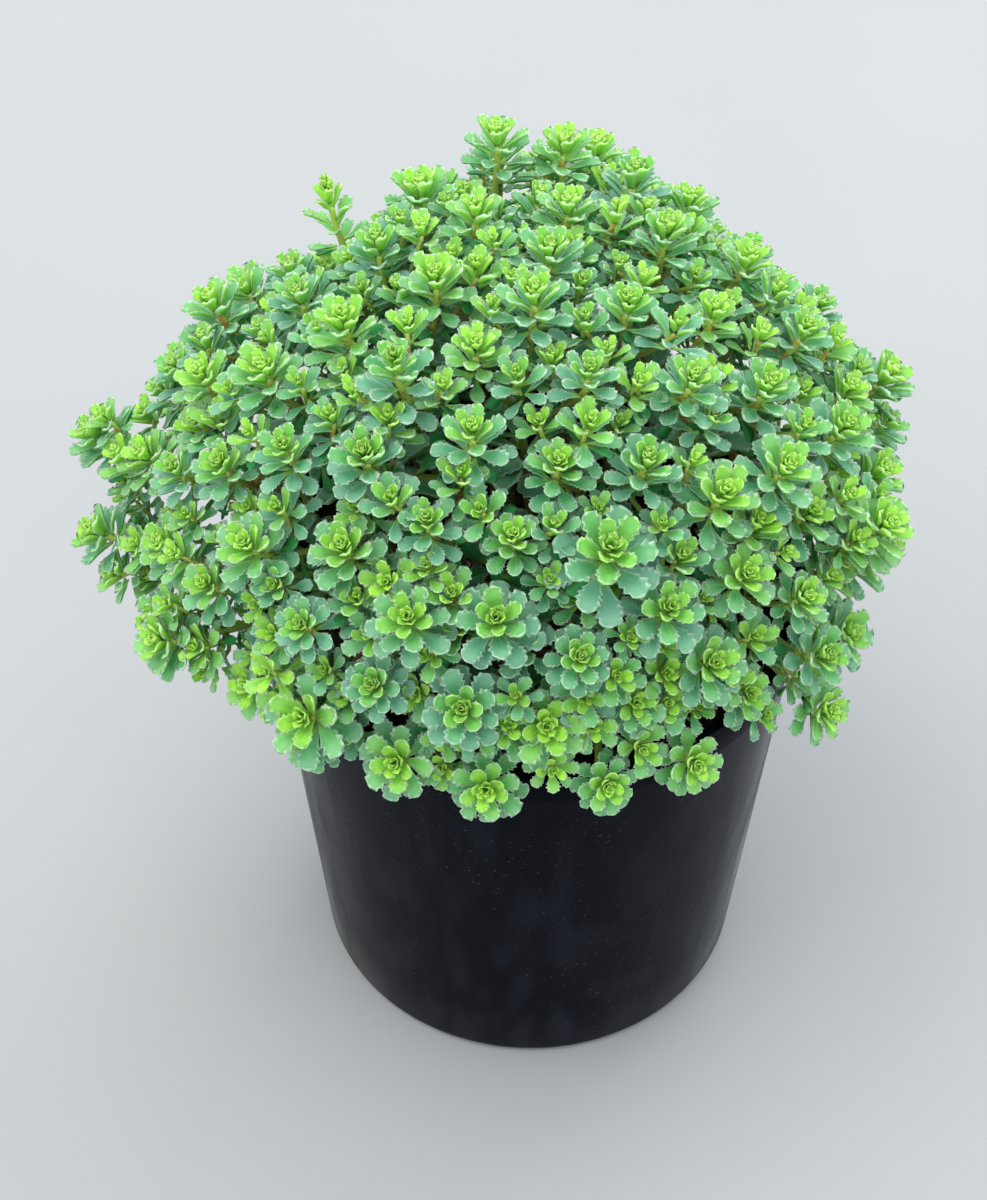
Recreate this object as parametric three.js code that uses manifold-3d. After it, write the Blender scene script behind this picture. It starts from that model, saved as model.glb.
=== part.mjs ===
// A potted clump of kamchatka stonecrop: a thin black nursery pot, its potting mix, and leafy branches that
// fan out from the mix into a dome of rosettes. Millimetres, +Z up, with the origin at the centre of the
// underside of the pot and -Y towards the viewer.
import * as THREE from "three";
import { mergeVertices } from "three/addons/utils/BufferGeometryUtils.js";
import Module from "manifold-3d";

const wasm = await Module();
wasm.setup();

// The pot: a common one-gallon nursery pot.
const POT_HEIGHT = 187;
const POT_TOP_RADIUS = 97.5;
const POT_BASE_RADIUS = 81;
const POT_WALL = 1.8;
const POT_FLOOR = 2.6;
const POT_LIP_HEIGHT = 14;
const POT_LIP_STEP = 1.1;
const POT_LIP_EDGE = 0.6;
const POT_LIP_FLARE = 0.3;
const POT_HEEL_RADIUS = 4;
const POT_SIDES = 40;
const DRAIN_COUNT = 5;
const DRAIN_RADIUS = 6;
const DRAIN_CIRCLE = 60;
const DRAIN_SIDES = 8;

// The potting mix and the plain holes that the branches stand in.
const MIX_TOP = 172;
const CLEARANCE = 0.3;
const HOLE_DEPTH = 12;
const FEET_RADIUS = 77;

// The dome that the rosettes' centres lie on, measured from its own centre.
const DOME_CENTRE = new THREE.Vector3(-8, 17, 194);
const DOME_RADII = new THREE.Vector3(131, 119, 125);
const DOME_SQUARENESS = 2.1;
const DOME_LOWEST = THREE.MathUtils.degToRad(91);
const DOME_WANDER = 0.35;
const DOME_UNEVEN = 8;
const DOME_SETTLING = 14;
const DOME_SPREAD = 1.2;
const DOME_PUSH = 0.2;

// Shoots stand nearly upright at the top of the dome and lean out at its sides. These are the shares of the
// dome's own lean that they take, at its top and where it's level with its centre.
const AXIS_LEANS = [0.2, 0.6];

// The rosettes and the branches that carry them.
const ROSETTE_COUNT = 122;
const ROSETTE_SMALLEST = 0.85;
const ROSETTE_LARGEST = 1.15;
const ROSETTE_OVERHANG = 10;
const ROSETTE_LOW = 12;
const SIX_LEAVES_SIZE = 1.1;
const SIX_LEAVES_SHARE = 0.75;
const BRANCH_COUNT = 48;
const GOLDEN_TURN = Math.PI * (3 - Math.sqrt(5));

// A stem is a three-sided stalk. It forks on a smaller dome inside the outer one.
const STEM_RADIUS = 1.8;
const STEM_SIDES = 3;
const STEM_STANDS = 8;
const FORK_SHARE = 0.68;
const FORK_LOWEST = MIX_TOP + 40;
const FORK_REACH = 84;
const FORK_STEP = 8;
const FORK_ROOM = 14;
const KNEE_LENGTH = 9;
const RIM_CLEARANCE = 7;

// A leaf is a wedge that is thickest at its root, with a wide toothed end. Shares are of the leaf's length.
const LEAF_LENGTH = 18;
const LEAF_SHORTEST = 5;
const LEAF_SHRINK = 0.9;
const LEAF_GAP = 0.25;
const LEAF_STEM_GAP = 1.2;
const LEAF_POT_GAP = 1;
const LEAF_SIDE_GAP = 0.07;
const LEAF_TESTED_SHARES = [0.5, 0.75, 1];
const LEAF_UNEVEN = 0.2;
const LEAF_INNER = 0.84;
const LEAF_OUTER_RISE = THREE.MathUtils.degToRad(6);
const LEAF_INNER_RISE = THREE.MathUtils.degToRad(32);
const LEAF_HALF_WIDTH = 0.38;
const LEAF_SIDE_TOOTH = 0.78;
const LEAF_NOTCH = 0.84;
const LEAF_NOTCH_WIDTH = 0.5;
const LEAF_CUP = 0.06;
const ROSETTE_CORE = 2.6;
const ROSETTE_BUD = 3;
const ROSETTE_LIFT = 0.6;
const ROSETTE_DEPTH = 3.6;

// The larger leaves low on each branch, one on each side of its main stem.
const WHORL_LEAF_LENGTH = 25;
const WHORL_RISE = THREE.MathUtils.degToRad(16);
const WHORL_THICKNESS = 2.6;
const WHORL_BELOW_FORK = 5;

// Colours. A branch's hue and lightness are drawn from a small range.
const POT_COLOR = 0x14171f;
const POT_ROUGHNESS = 0.3;
const MIX_COLOR = 0x3a2a1e;
const MIX_ROUGHNESS = 0.95;
const LEAF_HUES = [0.27, 0.32];
const LEAF_SATURATION = 0.42;
const LEAF_LIGHTNESSES = [0.38, 0.46];
const LEAF_ROUGHNESS = 0.55;

// Corners of a lathe or cylinder closer than this are one corner.
const WELD_DISTANCE = 1e-4;

// Hills and hollows of the dome: the way round and the lean from its top of their middles, in degrees, how far
// they lift it, in millimetres, and how wide they are, in degrees.
const DOME_HILLS = [
  { turn: 122, lean: 55, lift: -23, width: 28 },
  { turn: 86, lean: 36, lift: 14, width: 17 },
  { turn: 172, lean: 80, lift: 6, width: 18 },
  { turn: 225, lean: 89, lift: -8, width: 14 },
  { turn: 305, lean: 92, lift: -6, width: 10 },
  { turn: 340, lean: 92, lift: -4, width: 14 },
  { turn: 40, lean: 57, lift: -6, width: 20 },
];

// Shoots that stand out of the even dome: the way they face, how far they lean from the top of the dome, in
// degrees, how far they stand out of it, in millimetres, and their size against the others.
const SHOOTS = [
  { turn: 287, lean: 52, out: 1, size: 1.3 },
  { turn: 233, lean: 28, out: 4, size: 1.15 },
  { turn: 146, lean: 34, out: 15, size: 0.9 },
  { turn: 179, lean: 75, out: 14, size: 1 },
  { turn: 187, lean: 86, out: 12, size: 1.05 },
  { turn: 209, lean: 87, out: 9, size: 1.05 },
  { turn: 238, lean: 83, out: 7, size: 1.2 },
  { turn: 230, lean: 79, out: 6, size: 0.8 },
  { turn: 7, lean: 68, out: 9, size: 1.15 },
  { turn: 338, lean: 71, out: 10, size: 1.1 },
  { turn: 322, lean: 94, out: 9, size: 0.9 },
  { turn: 266, lean: 90, out: 3, size: 1 },
  { turn: 284, lean: 90, out: 3, size: 0.85 },
  { turn: 322, lean: 83, out: 5, size: 1 },
  { turn: 95, lean: 25, out: 8, size: 1 },
  { turn: 39, lean: 37, out: 3, size: 0.95 },
  { turn: 171, lean: 50, out: 6, size: 1 },
  { turn: 69, lean: 38, out: 1, size: 1 },
  { turn: 312, lean: 50, out: 1, size: 1.2 },
  { turn: 267, lean: 60, out: 1, size: 1.2 },
];

// A steady draw from 0 to 1 for the thing numbered i and its trait numbered k.
function draw(i, k) {
  const x = Math.sin(i * 12.9898 + k * 78.233) * 43758.5453;
  return x - Math.floor(x);
}

function direction(lean, turn) {
  return new THREE.Vector3(
    Math.sin(lean) * Math.cos(turn),
    Math.sin(lean) * Math.sin(turn),
    Math.cos(lean),
  );
}

// The distance from the dome's centre to its skin along a direction.
function domeReach(d) {
  const across = Math.hypot(d.x / DOME_RADII.x, d.y / DOME_RADII.y) ** DOME_SQUARENESS;
  const along = Math.abs(d.z / DOME_RADII.z) ** DOME_SQUARENESS;
  const even = (across + along) ** (-1 / DOME_SQUARENESS);
  return DOME_HILLS.reduce((reach, { turn, lean, lift, width }) => {
    const middle = direction(THREE.MathUtils.degToRad(lean), THREE.MathUtils.degToRad(turn));
    return reach + lift * Math.exp(-((d.distanceTo(middle) / THREE.MathUtils.degToRad(width)) ** 2));
  }, even);
}

// Sunflower order over the dome: equal areas, each a golden turn from the one before.
function spiralWay(i, count) {
  const lean = Math.acos(1 - ((i + 0.5) / count) * (1 - Math.cos(DOME_LOWEST)));
  return { lean, turn: i * GOLDEN_TURN };
}

// The standing-out shoots keep their places. The others start in sunflower order, wander, and then push each
// other apart until they are about evenly spread.
function makeWays() {
  const spacing = Math.sqrt((2 * Math.PI * (1 - Math.cos(DOME_LOWEST))) / ROSETTE_COUNT);
  const reach = DOME_SPREAD * spacing;
  const ways = SHOOTS.map(({ lean, turn }) =>
    direction(THREE.MathUtils.degToRad(lean), THREE.MathUtils.degToRad(turn)),
  );
  const wander = (i, k) => (draw(i, k) - 0.5) * 2 * DOME_WANDER * spacing;
  for (let i = 0; ways.length < ROSETTE_COUNT; i++) {
    const even = spiralWay(i, ROSETTE_COUNT - SHOOTS.length);
    ways.push(direction(even.lean + wander(i, 1), even.turn + wander(i, 2) / Math.sin(even.lean)));
  }
  for (let round = 0; round < DOME_SETTLING; round++) {
    const pushes = ways.map((way) => {
      const push = new THREE.Vector3();
      for (const other of ways) {
        const apart = way.clone().sub(other);
        const far = apart.length();
        if (far > 0 && far < reach) push.addScaledVector(apart, (reach - far) / far);
      }
      return push;
    });
    for (let i = SHOOTS.length; i < ways.length; i++) {
      ways[i].addScaledVector(pushes[i], DOME_PUSH).normalize();
      if (ways[i].z < Math.cos(DOME_LOWEST)) ways[i].setZ(Math.cos(DOME_LOWEST)).normalize();
    }
  }
  return ways;
}

function makeSites() {
  return makeWays().map((way, i) => {
    const size = THREE.MathUtils.lerp(ROSETTE_SMALLEST, ROSETTE_LARGEST, draw(i, 4));
    const shoot = SHOOTS[i] ?? { out: (draw(i, 3) - 0.5) * DOME_UNEVEN, size };
    const place = way.clone().multiplyScalar(domeReach(way) + shoot.out).add(DOME_CENTRE);
    const side = Math.hypot(place.x, place.y);
    if (place.z < POT_HEIGHT + ROSETTE_LOW && side < POT_TOP_RADIUS + ROSETTE_OVERHANG) {
      const out = (POT_TOP_RADIUS + ROSETTE_OVERHANG) / side;
      place.multiply(new THREE.Vector3(out, out, 1));
    }
    const lean = Math.acos(way.z);
    const share = THREE.MathUtils.lerp(...AXIS_LEANS, lean / (Math.PI / 2));
    const axis = direction(lean * share, Math.atan2(way.y, way.x));
    return { number: i, place, way, axis, size: shoot.size };
  });
}

// Each branch stands in the mix in the same order as its fork lies on the inner dome, so no two stems cross.
function makeBranches(sites) {
  const branches = [];
  for (let b = 0; b < BRANCH_COUNT; b++) {
    const { lean, turn } = spiralWay(b, BRANCH_COUNT);
    const way = direction(lean, turn);
    const foot = new THREE.Vector3(Math.cos(turn), Math.sin(turn), 0);
    foot.multiplyScalar(FEET_RADIUS * Math.sqrt((b + 0.5) / BRANCH_COUNT));
    const fork = way.clone().multiplyScalar(domeReach(way) * FORK_SHARE).add(DOME_CENTRE);
    const side = Math.hypot(fork.x, fork.y);
    if (side > FORK_REACH) fork.multiply(new THREE.Vector3(FORK_REACH / side, FORK_REACH / side, 1));
    fork.z = Math.max(fork.z, FORK_LOWEST);
    branches.push({ way, foot, fork, sites: [] });
  }
  for (const site of sites) {
    const near = (b) => b.way.dot(site.way);
    branches.reduce((best, b) => (near(b) > near(best) ? b : best)).sites.push(site);
  }
  for (const b of branches) b.sites.sort((p, q) => b.way.dot(q.way) - b.way.dot(p.way));
  return branches.filter((b) => b.sites.length);
}

// The middle line of a stem from its start to the rosette that it carries.
function stemLine(start, site) {
  const base = site.place.clone().addScaledVector(site.axis, -ROSETTE_DEPTH);
  const last = start[start.length - 1];
  const run = base.clone().sub(last).normalize();
  const knee = base.clone().addScaledVector(run.add(site.axis).normalize(), -KNEE_LENGTH);
  const side = Math.hypot(base.x, base.y);
  const top = POT_HEIGHT + RIM_CLEARANCE;
  if (side > POT_TOP_RADIUS && base.z < top + KNEE_LENGTH) {
    knee.set((base.x / side) * POT_TOP_RADIUS, (base.y / side) * POT_TOP_RADIUS, Math.max(top, base.z));
  }
  return [...start, knee, base];
}

// A branch's main stem and side stems, and where its whorl of larger leaves grows.
function branchLines(branch) {
  const { foot, fork } = branch;
  const stand = foot.clone().setZ(MIX_TOP + STEM_STANDS);
  const down = stand.clone().sub(fork);
  const step = Math.min(FORK_STEP, (down.length() - FORK_ROOM) / branch.sites.length);
  down.normalize();
  const whorl = fork.clone().addScaledVector(down, step * (branch.sites.length - 1) + WHORL_BELOW_FORK);
  const whorlFoot = whorl.clone().addScaledVector(down, WHORL_THICKNESS);
  const low = foot.clone().setZ(MIX_TOP - HOLE_DEPTH + CLEARANCE);
  const main = stemLine([low, stand, whorlFoot, whorl, fork], branch.sites[0]);
  const sides = branch.sites.slice(1).map((site, k) =>
    stemLine([fork.clone().addScaledVector(down, step * (k + 0.5))], site),
  );
  return { lines: [main, ...sides], whorl: { place: whorl, size: 1 } };
}

// The edge of a leaf 1 mm long, from its one side tooth over its tip to the other, as offsets from its root.
function leafEdge(out, up, rise, widest) {
  const along = out.clone().multiplyScalar(Math.cos(rise)).addScaledVector(up, Math.sin(rise));
  const across = up.clone().cross(out);
  const face = along.clone().cross(across);
  const half = Math.min(LEAF_HALF_WIDTH, widest * LEAF_SIDE_TOOTH * Math.cos(rise));
  const point = (t, s, h) =>
    along.clone().multiplyScalar(t).addScaledVector(across, s).addScaledVector(face, h);
  return [
    point(LEAF_SIDE_TOOTH, -half, LEAF_CUP),
    point(LEAF_NOTCH, -half * LEAF_NOTCH_WIDTH, 0),
    point(1, 0, LEAF_CUP / 2),
    point(LEAF_NOTCH, half * LEAF_NOTCH_WIDTH, 0),
    point(LEAF_SIDE_TOOTH, half, LEAF_CUP),
  ];
}

// The longest leaf that stays on its own side of the planes halfway to every other rosette or whorl.
function roomForLeaf(edge, want, home, others) {
  const farthest = 2 * (LEAF_LENGTH + WHORL_LEAF_LENGTH);
  let length = want;
  for (const other of others) {
    const apart = other.place.clone().sub(home.place);
    const far = apart.length();
    if (far === 0 || far > farthest) continue;
    const limit = (far * home.size) / (home.size + other.size) - LEAF_GAP;
    apart.normalize();
    for (const p of edge) {
      const reach = p.dot(apart);
      if (reach > 0) length = Math.min(length, limit / reach);
    }
  }
  return length;
}

function distanceToLine(p, line) {
  const nearest = new THREE.Vector3();
  let least = Infinity;
  for (let k = 1; k < line.length; k++) {
    new THREE.Line3(line[k - 1], line[k]).closestPointToPoint(p, true, nearest);
    least = Math.min(least, nearest.distanceTo(p));
  }
  return least;
}

function touchesPot(p) {
  const side = Math.hypot(p.x, p.y);
  return p.z < POT_HEIGHT + LEAF_POT_GAP && side < POT_TOP_RADIUS + LEAF_POT_GAP;
}

// A leaf is shortened until it is also clear of the pot and of the other branches' stems.
function fitLeaf(edge, want, home, others, otherLines) {
  let length = roomForLeaf(edge, want, home, others);
  const near = STEM_RADIUS + LEAF_STEM_GAP;
  const blocked = () =>
    edge.some((p) =>
      LEAF_TESTED_SHARES.some((share) => {
        const at = home.place.clone().addScaledVector(p, length * share);
        return touchesPot(at) || otherLines.some((line) => distanceToLine(at, line) < near);
      }),
    );
  while (length > LEAF_SHORTEST && blocked()) length *= LEAF_SHRINK;
  return edge.map((p) => home.place.clone().addScaledVector(p, length));
}

function makeBuilder() {
  const vertices = [];
  const faces = [];
  return { vertices, faces, add: (p) => vertices.push(p.clone()) - 1 };
}

// The upper face of a leaf, from its two root corners to its edge.
function leafTop(faces, first, edge, last) {
  const [sideA, notchA, tip, notchB, sideB] = edge;
  faces.push([first, sideA, notchA], [first, notchA, tip], [first, tip, last]);
  faces.push([last, tip, notchB], [last, notchB, sideB]);
}

// Rings of corners along a stem, from the rosette down. The lowest rings, as many as upright says, lie level.
function stemRings(builder, line, axis, arm, upright) {
  const rings = [];
  let way = axis.clone();
  let side = arm.clone();
  for (let k = line.length - 1; k >= 0; k--) {
    const before = line[Math.max(k - 1, 0)];
    const after = line[Math.min(k + 1, line.length - 1)];
    const next = k === line.length - 1 ? axis.clone() : after.clone().sub(before).normalize();
    if (k < upright) next.set(0, 0, 1);
    side = side.applyQuaternion(new THREE.Quaternion().setFromUnitVectors(way, next));
    way = next;
    const ring = [];
    for (let r = 0; r < STEM_SIDES; r++) {
      const corner = side.clone().applyAxisAngle(way, (2 * Math.PI * r) / STEM_SIDES);
      ring.push(builder.add(line[k].clone().addScaledVector(corner, STEM_RADIUS)));
    }
    rings.push(ring);
  }
  return rings;
}

// One leaf on each side of the stem between two rings.
function addWhorl(builder, upper, lower, home, others, otherLines) {
  const { vertices, faces } = builder;
  for (let r = 0; r < STEM_SIDES; r++) {
    const s = (r + 1) % STEM_SIDES;
    const up = vertices[upper[r]].clone().sub(vertices[lower[r]]).normalize();
    const middle = vertices[upper[r]].clone().lerp(vertices[upper[s]], 0.5);
    const out = middle.sub(home.place).normalize();
    const points = fitLeaf(leafEdge(out, up, WHORL_RISE, 1), WHORL_LEAF_LENGTH, home, others, otherLines);
    const edge = points.map(builder.add);
    const [sideA, notchA, tip, notchB, sideB] = edge;
    leafTop(faces, upper[r], edge, upper[s]);
    faces.push([notchA, sideA, lower[r]], [tip, notchA, lower[r]], [lower[s], tip, lower[r]]);
    faces.push([notchB, tip, lower[s]], [sideB, notchB, lower[s]]);
    faces.push([sideA, upper[r], lower[r]], [upper[s], sideB, lower[s]]);
  }
}

// A star of leaves that share their root corners, over the stem's top ring.
function addRosette(builder, ring, site, spin, count, around, others, otherLines) {
  const { faces, add } = builder;
  const at = (angle, radius, height) =>
    site.place.clone().addScaledVector(around(angle), radius).addScaledVector(site.axis, height);
  const turn = (j) => spin + (2 * Math.PI * j) / count;
  const bud = add(at(0, 0, ROSETTE_BUD));
  const corners = [];
  for (let j = 0; j < count; j++) corners.push(add(at(turn(j + 0.5), ROSETTE_CORE, ROSETTE_LIFT)));
  const under = (j) => ring[Math.floor((((j % count) + 0.5) * STEM_SIDES) / count)];
  const widest = Math.tan(Math.PI / count - LEAF_SIDE_GAP);
  for (let j = 0; j < count; j++) {
    const inner = j % 2 === 1;
    const uneven = (draw(site.number, 10 + j) - 0.5) * LEAF_UNEVEN;
    const rise = (inner ? LEAF_INNER_RISE : LEAF_OUTER_RISE) + uneven;
    const want = LEAF_LENGTH * site.size * (inner ? LEAF_INNER : 1);
    const shape = leafEdge(around(turn(j)), site.axis, rise, widest);
    const edge = fitLeaf(shape, want, site, others, otherLines).map(add);
    const first = corners[(j + count - 1) % count];
    const last = corners[j];
    faces.push([bud, first, last]);
    leafTop(faces, first, edge, last);
    const outline = [first, ...edge, last];
    for (let k = 1; k < outline.length; k++) faces.push([outline[k], outline[k - 1], under(j)]);
    if (under(j + 1) !== under(j)) faces.push([last, under(j), under(j + 1)]);
  }
}

// One closed mesh: a rosette over a stem that follows a line. A main stem also has a whorl of larger leaves.
function makeShoot(site, line, whorl, others, otherLines) {
  const builder = makeBuilder();
  const { faces } = builder;
  const count = site.size > SIX_LEAVES_SIZE || draw(site.number, 5) < SIX_LEAVES_SHARE ? 6 : 5;
  const spin = draw(site.number, 6) * 2 * Math.PI;
  const u = new THREE.Vector3(-site.axis.y, site.axis.x, 0).normalize();
  const v = site.axis.clone().cross(u);
  const around = (a) => u.clone().multiplyScalar(Math.cos(a)).addScaledVector(v, Math.sin(a));
  const arm = around(spin + Math.PI / STEM_SIDES - Math.PI / count);
  const rings = stemRings(builder, line, site.axis, arm, whorl ? 2 : 0);
  const whorlRing = whorl ? line.length - 1 - line.indexOf(whorl.place) : -1;
  for (let k = 1; k < rings.length; k++) {
    const [upper, lower] = [rings[k - 1], rings[k]];
    if (k - 1 === whorlRing) {
      addWhorl(builder, upper, lower, whorl, others, otherLines);
      continue;
    }
    for (let r = 0; r < STEM_SIDES; r++) {
      const s = (r + 1) % STEM_SIDES;
      faces.push([upper[s], upper[r], lower[r]], [upper[s], lower[r], lower[s]]);
    }
  }
  const foot = rings[rings.length - 1];
  for (let r = 2; r < STEM_SIDES; r++) faces.push([foot[0], foot[r], foot[r - 1]]);
  addRosette(builder, rings[0], site, spin, count, around, others, otherLines);
  return { vertices: builder.vertices, faces, foot: foot.map((k) => builder.vertices[k]) };
}

function solidFromFaces({ vertices, faces }) {
  const vertProperties = new Float32Array(vertices.flatMap((p) => p.toArray()));
  const triVerts = new Uint32Array(faces.flat());
  return new wasm.Manifold(new wasm.Mesh({ numProp: 3, vertProperties, triVerts }));
}

function solidFromGeometry(geometry) {
  const bare = geometry.clone();
  bare.deleteAttribute("normal");
  bare.deleteAttribute("uv");
  const merged = mergeVertices(bare, WELD_DISTANCE);
  const vertProperties = new Float32Array(merged.attributes.position.array);
  const triVerts = new Uint32Array(merged.index.array);
  return new wasm.Manifold(new wasm.Mesh({ numProp: 3, vertProperties, triVerts }));
}

function geometryFromSolid(solid) {
  const mesh = solid.getMesh();
  const geometry = new THREE.BufferGeometry();
  geometry.setAttribute("position", new THREE.BufferAttribute(new Float32Array(mesh.vertProperties), 3));
  geometry.setIndex(new THREE.BufferAttribute(new Uint32Array(mesh.triVerts), 1));
  geometry.computeVertexNormals();
  return geometry;
}

// A profile of [radius, height] points turned about the vertical axis.
function turned(profile) {
  const geometry = new THREE.LatheGeometry(profile.map(([r, z]) => new THREE.Vector2(r, z)), POT_SIDES);
  geometry.rotateX(Math.PI / 2);
  return solidFromGeometry(geometry);
}

// The outside of the wall's radius at a height, below the lip.
function wallRadius(z) {
  const top = POT_TOP_RADIUS - POT_LIP_STEP;
  return POT_BASE_RADIUS + ((top - POT_BASE_RADIUS) * z) / POT_HEIGHT;
}

function makePot() {
  const lipFoot = POT_HEIGHT - POT_LIP_HEIGHT;
  const heel = POT_HEEL_RADIUS;
  const heelBend = heel * (1 - Math.SQRT1_2);
  const inner = POT_TOP_RADIUS - POT_LIP_STEP - POT_WALL;
  const pot = turned([
    [0, 0],
    [POT_BASE_RADIUS - heel, 0],
    [wallRadius(0) - heelBend, heelBend],
    [wallRadius(heel), heel],
    [wallRadius(lipFoot), lipFoot],
    [POT_TOP_RADIUS - POT_LIP_FLARE, lipFoot + POT_LIP_STEP],
    [POT_TOP_RADIUS, POT_HEIGHT - POT_LIP_EDGE],
    [POT_TOP_RADIUS - POT_LIP_EDGE, POT_HEIGHT],
    [inner + POT_LIP_EDGE, POT_HEIGHT],
    [inner, POT_HEIGHT - POT_LIP_EDGE],
    [wallRadius(heel) - POT_WALL, heel + POT_FLOOR],
    [POT_BASE_RADIUS - heel - POT_WALL, POT_FLOOR],
    [0, POT_FLOOR],
  ]);
  const drillLength = 4 * POT_FLOOR;
  const drill = new THREE.CylinderGeometry(DRAIN_RADIUS, DRAIN_RADIUS, drillLength, DRAIN_SIDES);
  drill.rotateX(Math.PI / 2);
  let drained = pot;
  for (let k = 0; k < DRAIN_COUNT; k++) {
    const turn = (2 * Math.PI * (k + 0.5)) / DRAIN_COUNT;
    const place = drill.clone().translate(DRAIN_CIRCLE * Math.cos(turn), DRAIN_CIRCLE * Math.sin(turn), 0);
    drained = drained.subtract(solidFromGeometry(place));
  }
  return drained;
}

// The mix fills the pot to a little below the rim. Each branch's foot has its own plain hole.
function makeMix(feet) {
  const inside = (z) => wallRadius(z) - POT_WALL - CLEARANCE;
  const low = POT_FLOOR + CLEARANCE;
  const heel = POT_HEEL_RADIUS + POT_FLOOR + CLEARANCE;
  let mix = turned([
    [0, low],
    [POT_BASE_RADIUS - POT_HEEL_RADIUS - POT_WALL - CLEARANCE, low],
    [inside(heel), heel],
    [inside(MIX_TOP), MIX_TOP],
    [0, MIX_TOP],
  ]);
  const grow = 1 + CLEARANCE / (STEM_RADIUS * Math.cos(Math.PI / STEM_SIDES));
  for (const foot of feet) {
    const middle = foot.reduce((sum, p) => sum.add(p), new THREE.Vector3()).divideScalar(foot.length);
    const ring = foot.map((p) => p.clone().sub(middle).multiplyScalar(grow).add(middle));
    const bottom = ring.map((p) => p.clone().setZ(MIX_TOP - HOLE_DEPTH));
    const top = ring.map((p) => p.clone().setZ(MIX_TOP + CLEARANCE));
    const n = ring.length;
    const faces = [];
    for (let k = 0; k < n; k++) {
      const m = (k + 1) % n;
      faces.push([k, m, n + m], [k, n + m, n + k]);
    }
    for (let k = 2; k < n; k++) faces.push([0, k, k - 1], [n, n + k - 1, n + k]);
    mix = mix.subtract(solidFromFaces({ vertices: [...bottom, ...top], faces }));
  }
  return mix;
}

function named(name, solid, color, roughness) {
  const material = new THREE.MeshStandardMaterial({ color, roughness, metalness: 0 });
  const mesh = new THREE.Mesh(geometryFromSolid(solid), material);
  mesh.name = name;
  return mesh;
}

const sites = makeSites();
const branches = makeBranches(sites);
const grown = branches.map(branchLines);
const others = [...sites, ...grown.map((g) => g.whorl)];
const clump = new THREE.Group();
const feet = [];
branches.forEach((branch, b) => {
  const otherLines = grown.filter((g) => g !== grown[b]).flatMap((g) => g.lines);
  let solid = null;
  branch.sites.forEach((site, k) => {
    const shoot = makeShoot(site, grown[b].lines[k], k === 0 ? grown[b].whorl : null, others, otherLines);
    if (k === 0) feet.push(shoot.foot);
    const made = solidFromFaces(shoot);
    solid = solid ? solid.add(made) : made;
  });
  const name = "leafy_branch_" + String(b + 1).padStart(2, "0");
  const hue = THREE.MathUtils.lerp(...LEAF_HUES, draw(b, 7));
  const lightness = THREE.MathUtils.lerp(...LEAF_LIGHTNESSES, draw(b, 8));
  const color = new THREE.Color().setHSL(hue, LEAF_SATURATION, lightness);
  clump.add(named(name, solid, color, LEAF_ROUGHNESS));
});

const plant = new THREE.Group();
plant.add(named("pot", makePot(), POT_COLOR, POT_ROUGHNESS));
plant.add(named("potting_mix", makeMix(feet), MIX_COLOR, MIX_ROUGHNESS));
plant.add(clump);

export default plant;
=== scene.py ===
import math
from math import acos, cos, hypot, pi, radians, sin, sqrt

import bmesh
import bpy
import numpy as np
from mathutils import Matrix, Vector


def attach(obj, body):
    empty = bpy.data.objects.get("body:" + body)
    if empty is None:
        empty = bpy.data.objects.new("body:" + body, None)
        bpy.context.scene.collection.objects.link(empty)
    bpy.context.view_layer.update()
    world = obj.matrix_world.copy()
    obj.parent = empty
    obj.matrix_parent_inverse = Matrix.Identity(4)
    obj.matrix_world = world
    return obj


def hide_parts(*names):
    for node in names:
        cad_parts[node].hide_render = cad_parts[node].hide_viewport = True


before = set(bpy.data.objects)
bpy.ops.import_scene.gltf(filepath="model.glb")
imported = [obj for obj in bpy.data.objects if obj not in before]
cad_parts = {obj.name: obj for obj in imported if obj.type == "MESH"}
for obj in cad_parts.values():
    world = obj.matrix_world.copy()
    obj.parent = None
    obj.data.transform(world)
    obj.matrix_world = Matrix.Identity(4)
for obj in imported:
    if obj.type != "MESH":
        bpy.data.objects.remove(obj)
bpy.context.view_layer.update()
bpy.ops.object.select_all(action="DESELECT")

norm = np.linalg.norm
mm = 0.001
touching = 0.00001  # how near a plane a point counts as lying on it, in metres
fullTurn = 2 * pi
looseTurn = 6.28  # for things that may start anywhere round a stem
goldenTurn = pi * (3 - sqrt(5))  # from one leaf or shoot to the next


# The same steady draw that places the solids, so a thing numbered i has the same trait k here.
# A leaf's number is its rosette's times a factor plus its own, which keeps the draws apart.
def draw(i, k):
    x = sin(i * 12.9898 + k * 78.233) * 43758.5453
    return x - math.floor(x)


def between(span, share):
    return span[0] + (span[1] - span[0]) * share


def drawIn(span, i, k):
    return between(span, draw(i, k))


def jitter(width, i, k):
    return width * (draw(i, k) - 0.5)


def addThing(name, data):
    thing = bpy.data.objects.new(name, data)
    bpy.context.scene.collection.objects.link(thing)
    return thing


# the camera stands where the photo was taken from
camera = {
    "lens": 78,
    "sensor": 36,
    "elevation": 47.0,
    "target": (-0.0144, 0, 0.1695),
    "distance": 0.9372,
    "clipStart": 0.01,
}


def makeCamera():
    e = radians(camera["elevation"])
    back = Vector((0, -cos(e), sin(e)))
    data = bpy.data.cameras.new("photoCamera")
    data.lens = camera["lens"]
    data.sensor_width = camera["sensor"]
    data.clip_start = camera["clipStart"]
    eye = addThing("photoCamera", data)
    eye.location = Vector(camera["target"]) + back * camera["distance"]
    eye.rotation_euler = back.to_track_quat("Z", "Y").to_euler()
    bpy.context.scene.camera = eye


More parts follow.
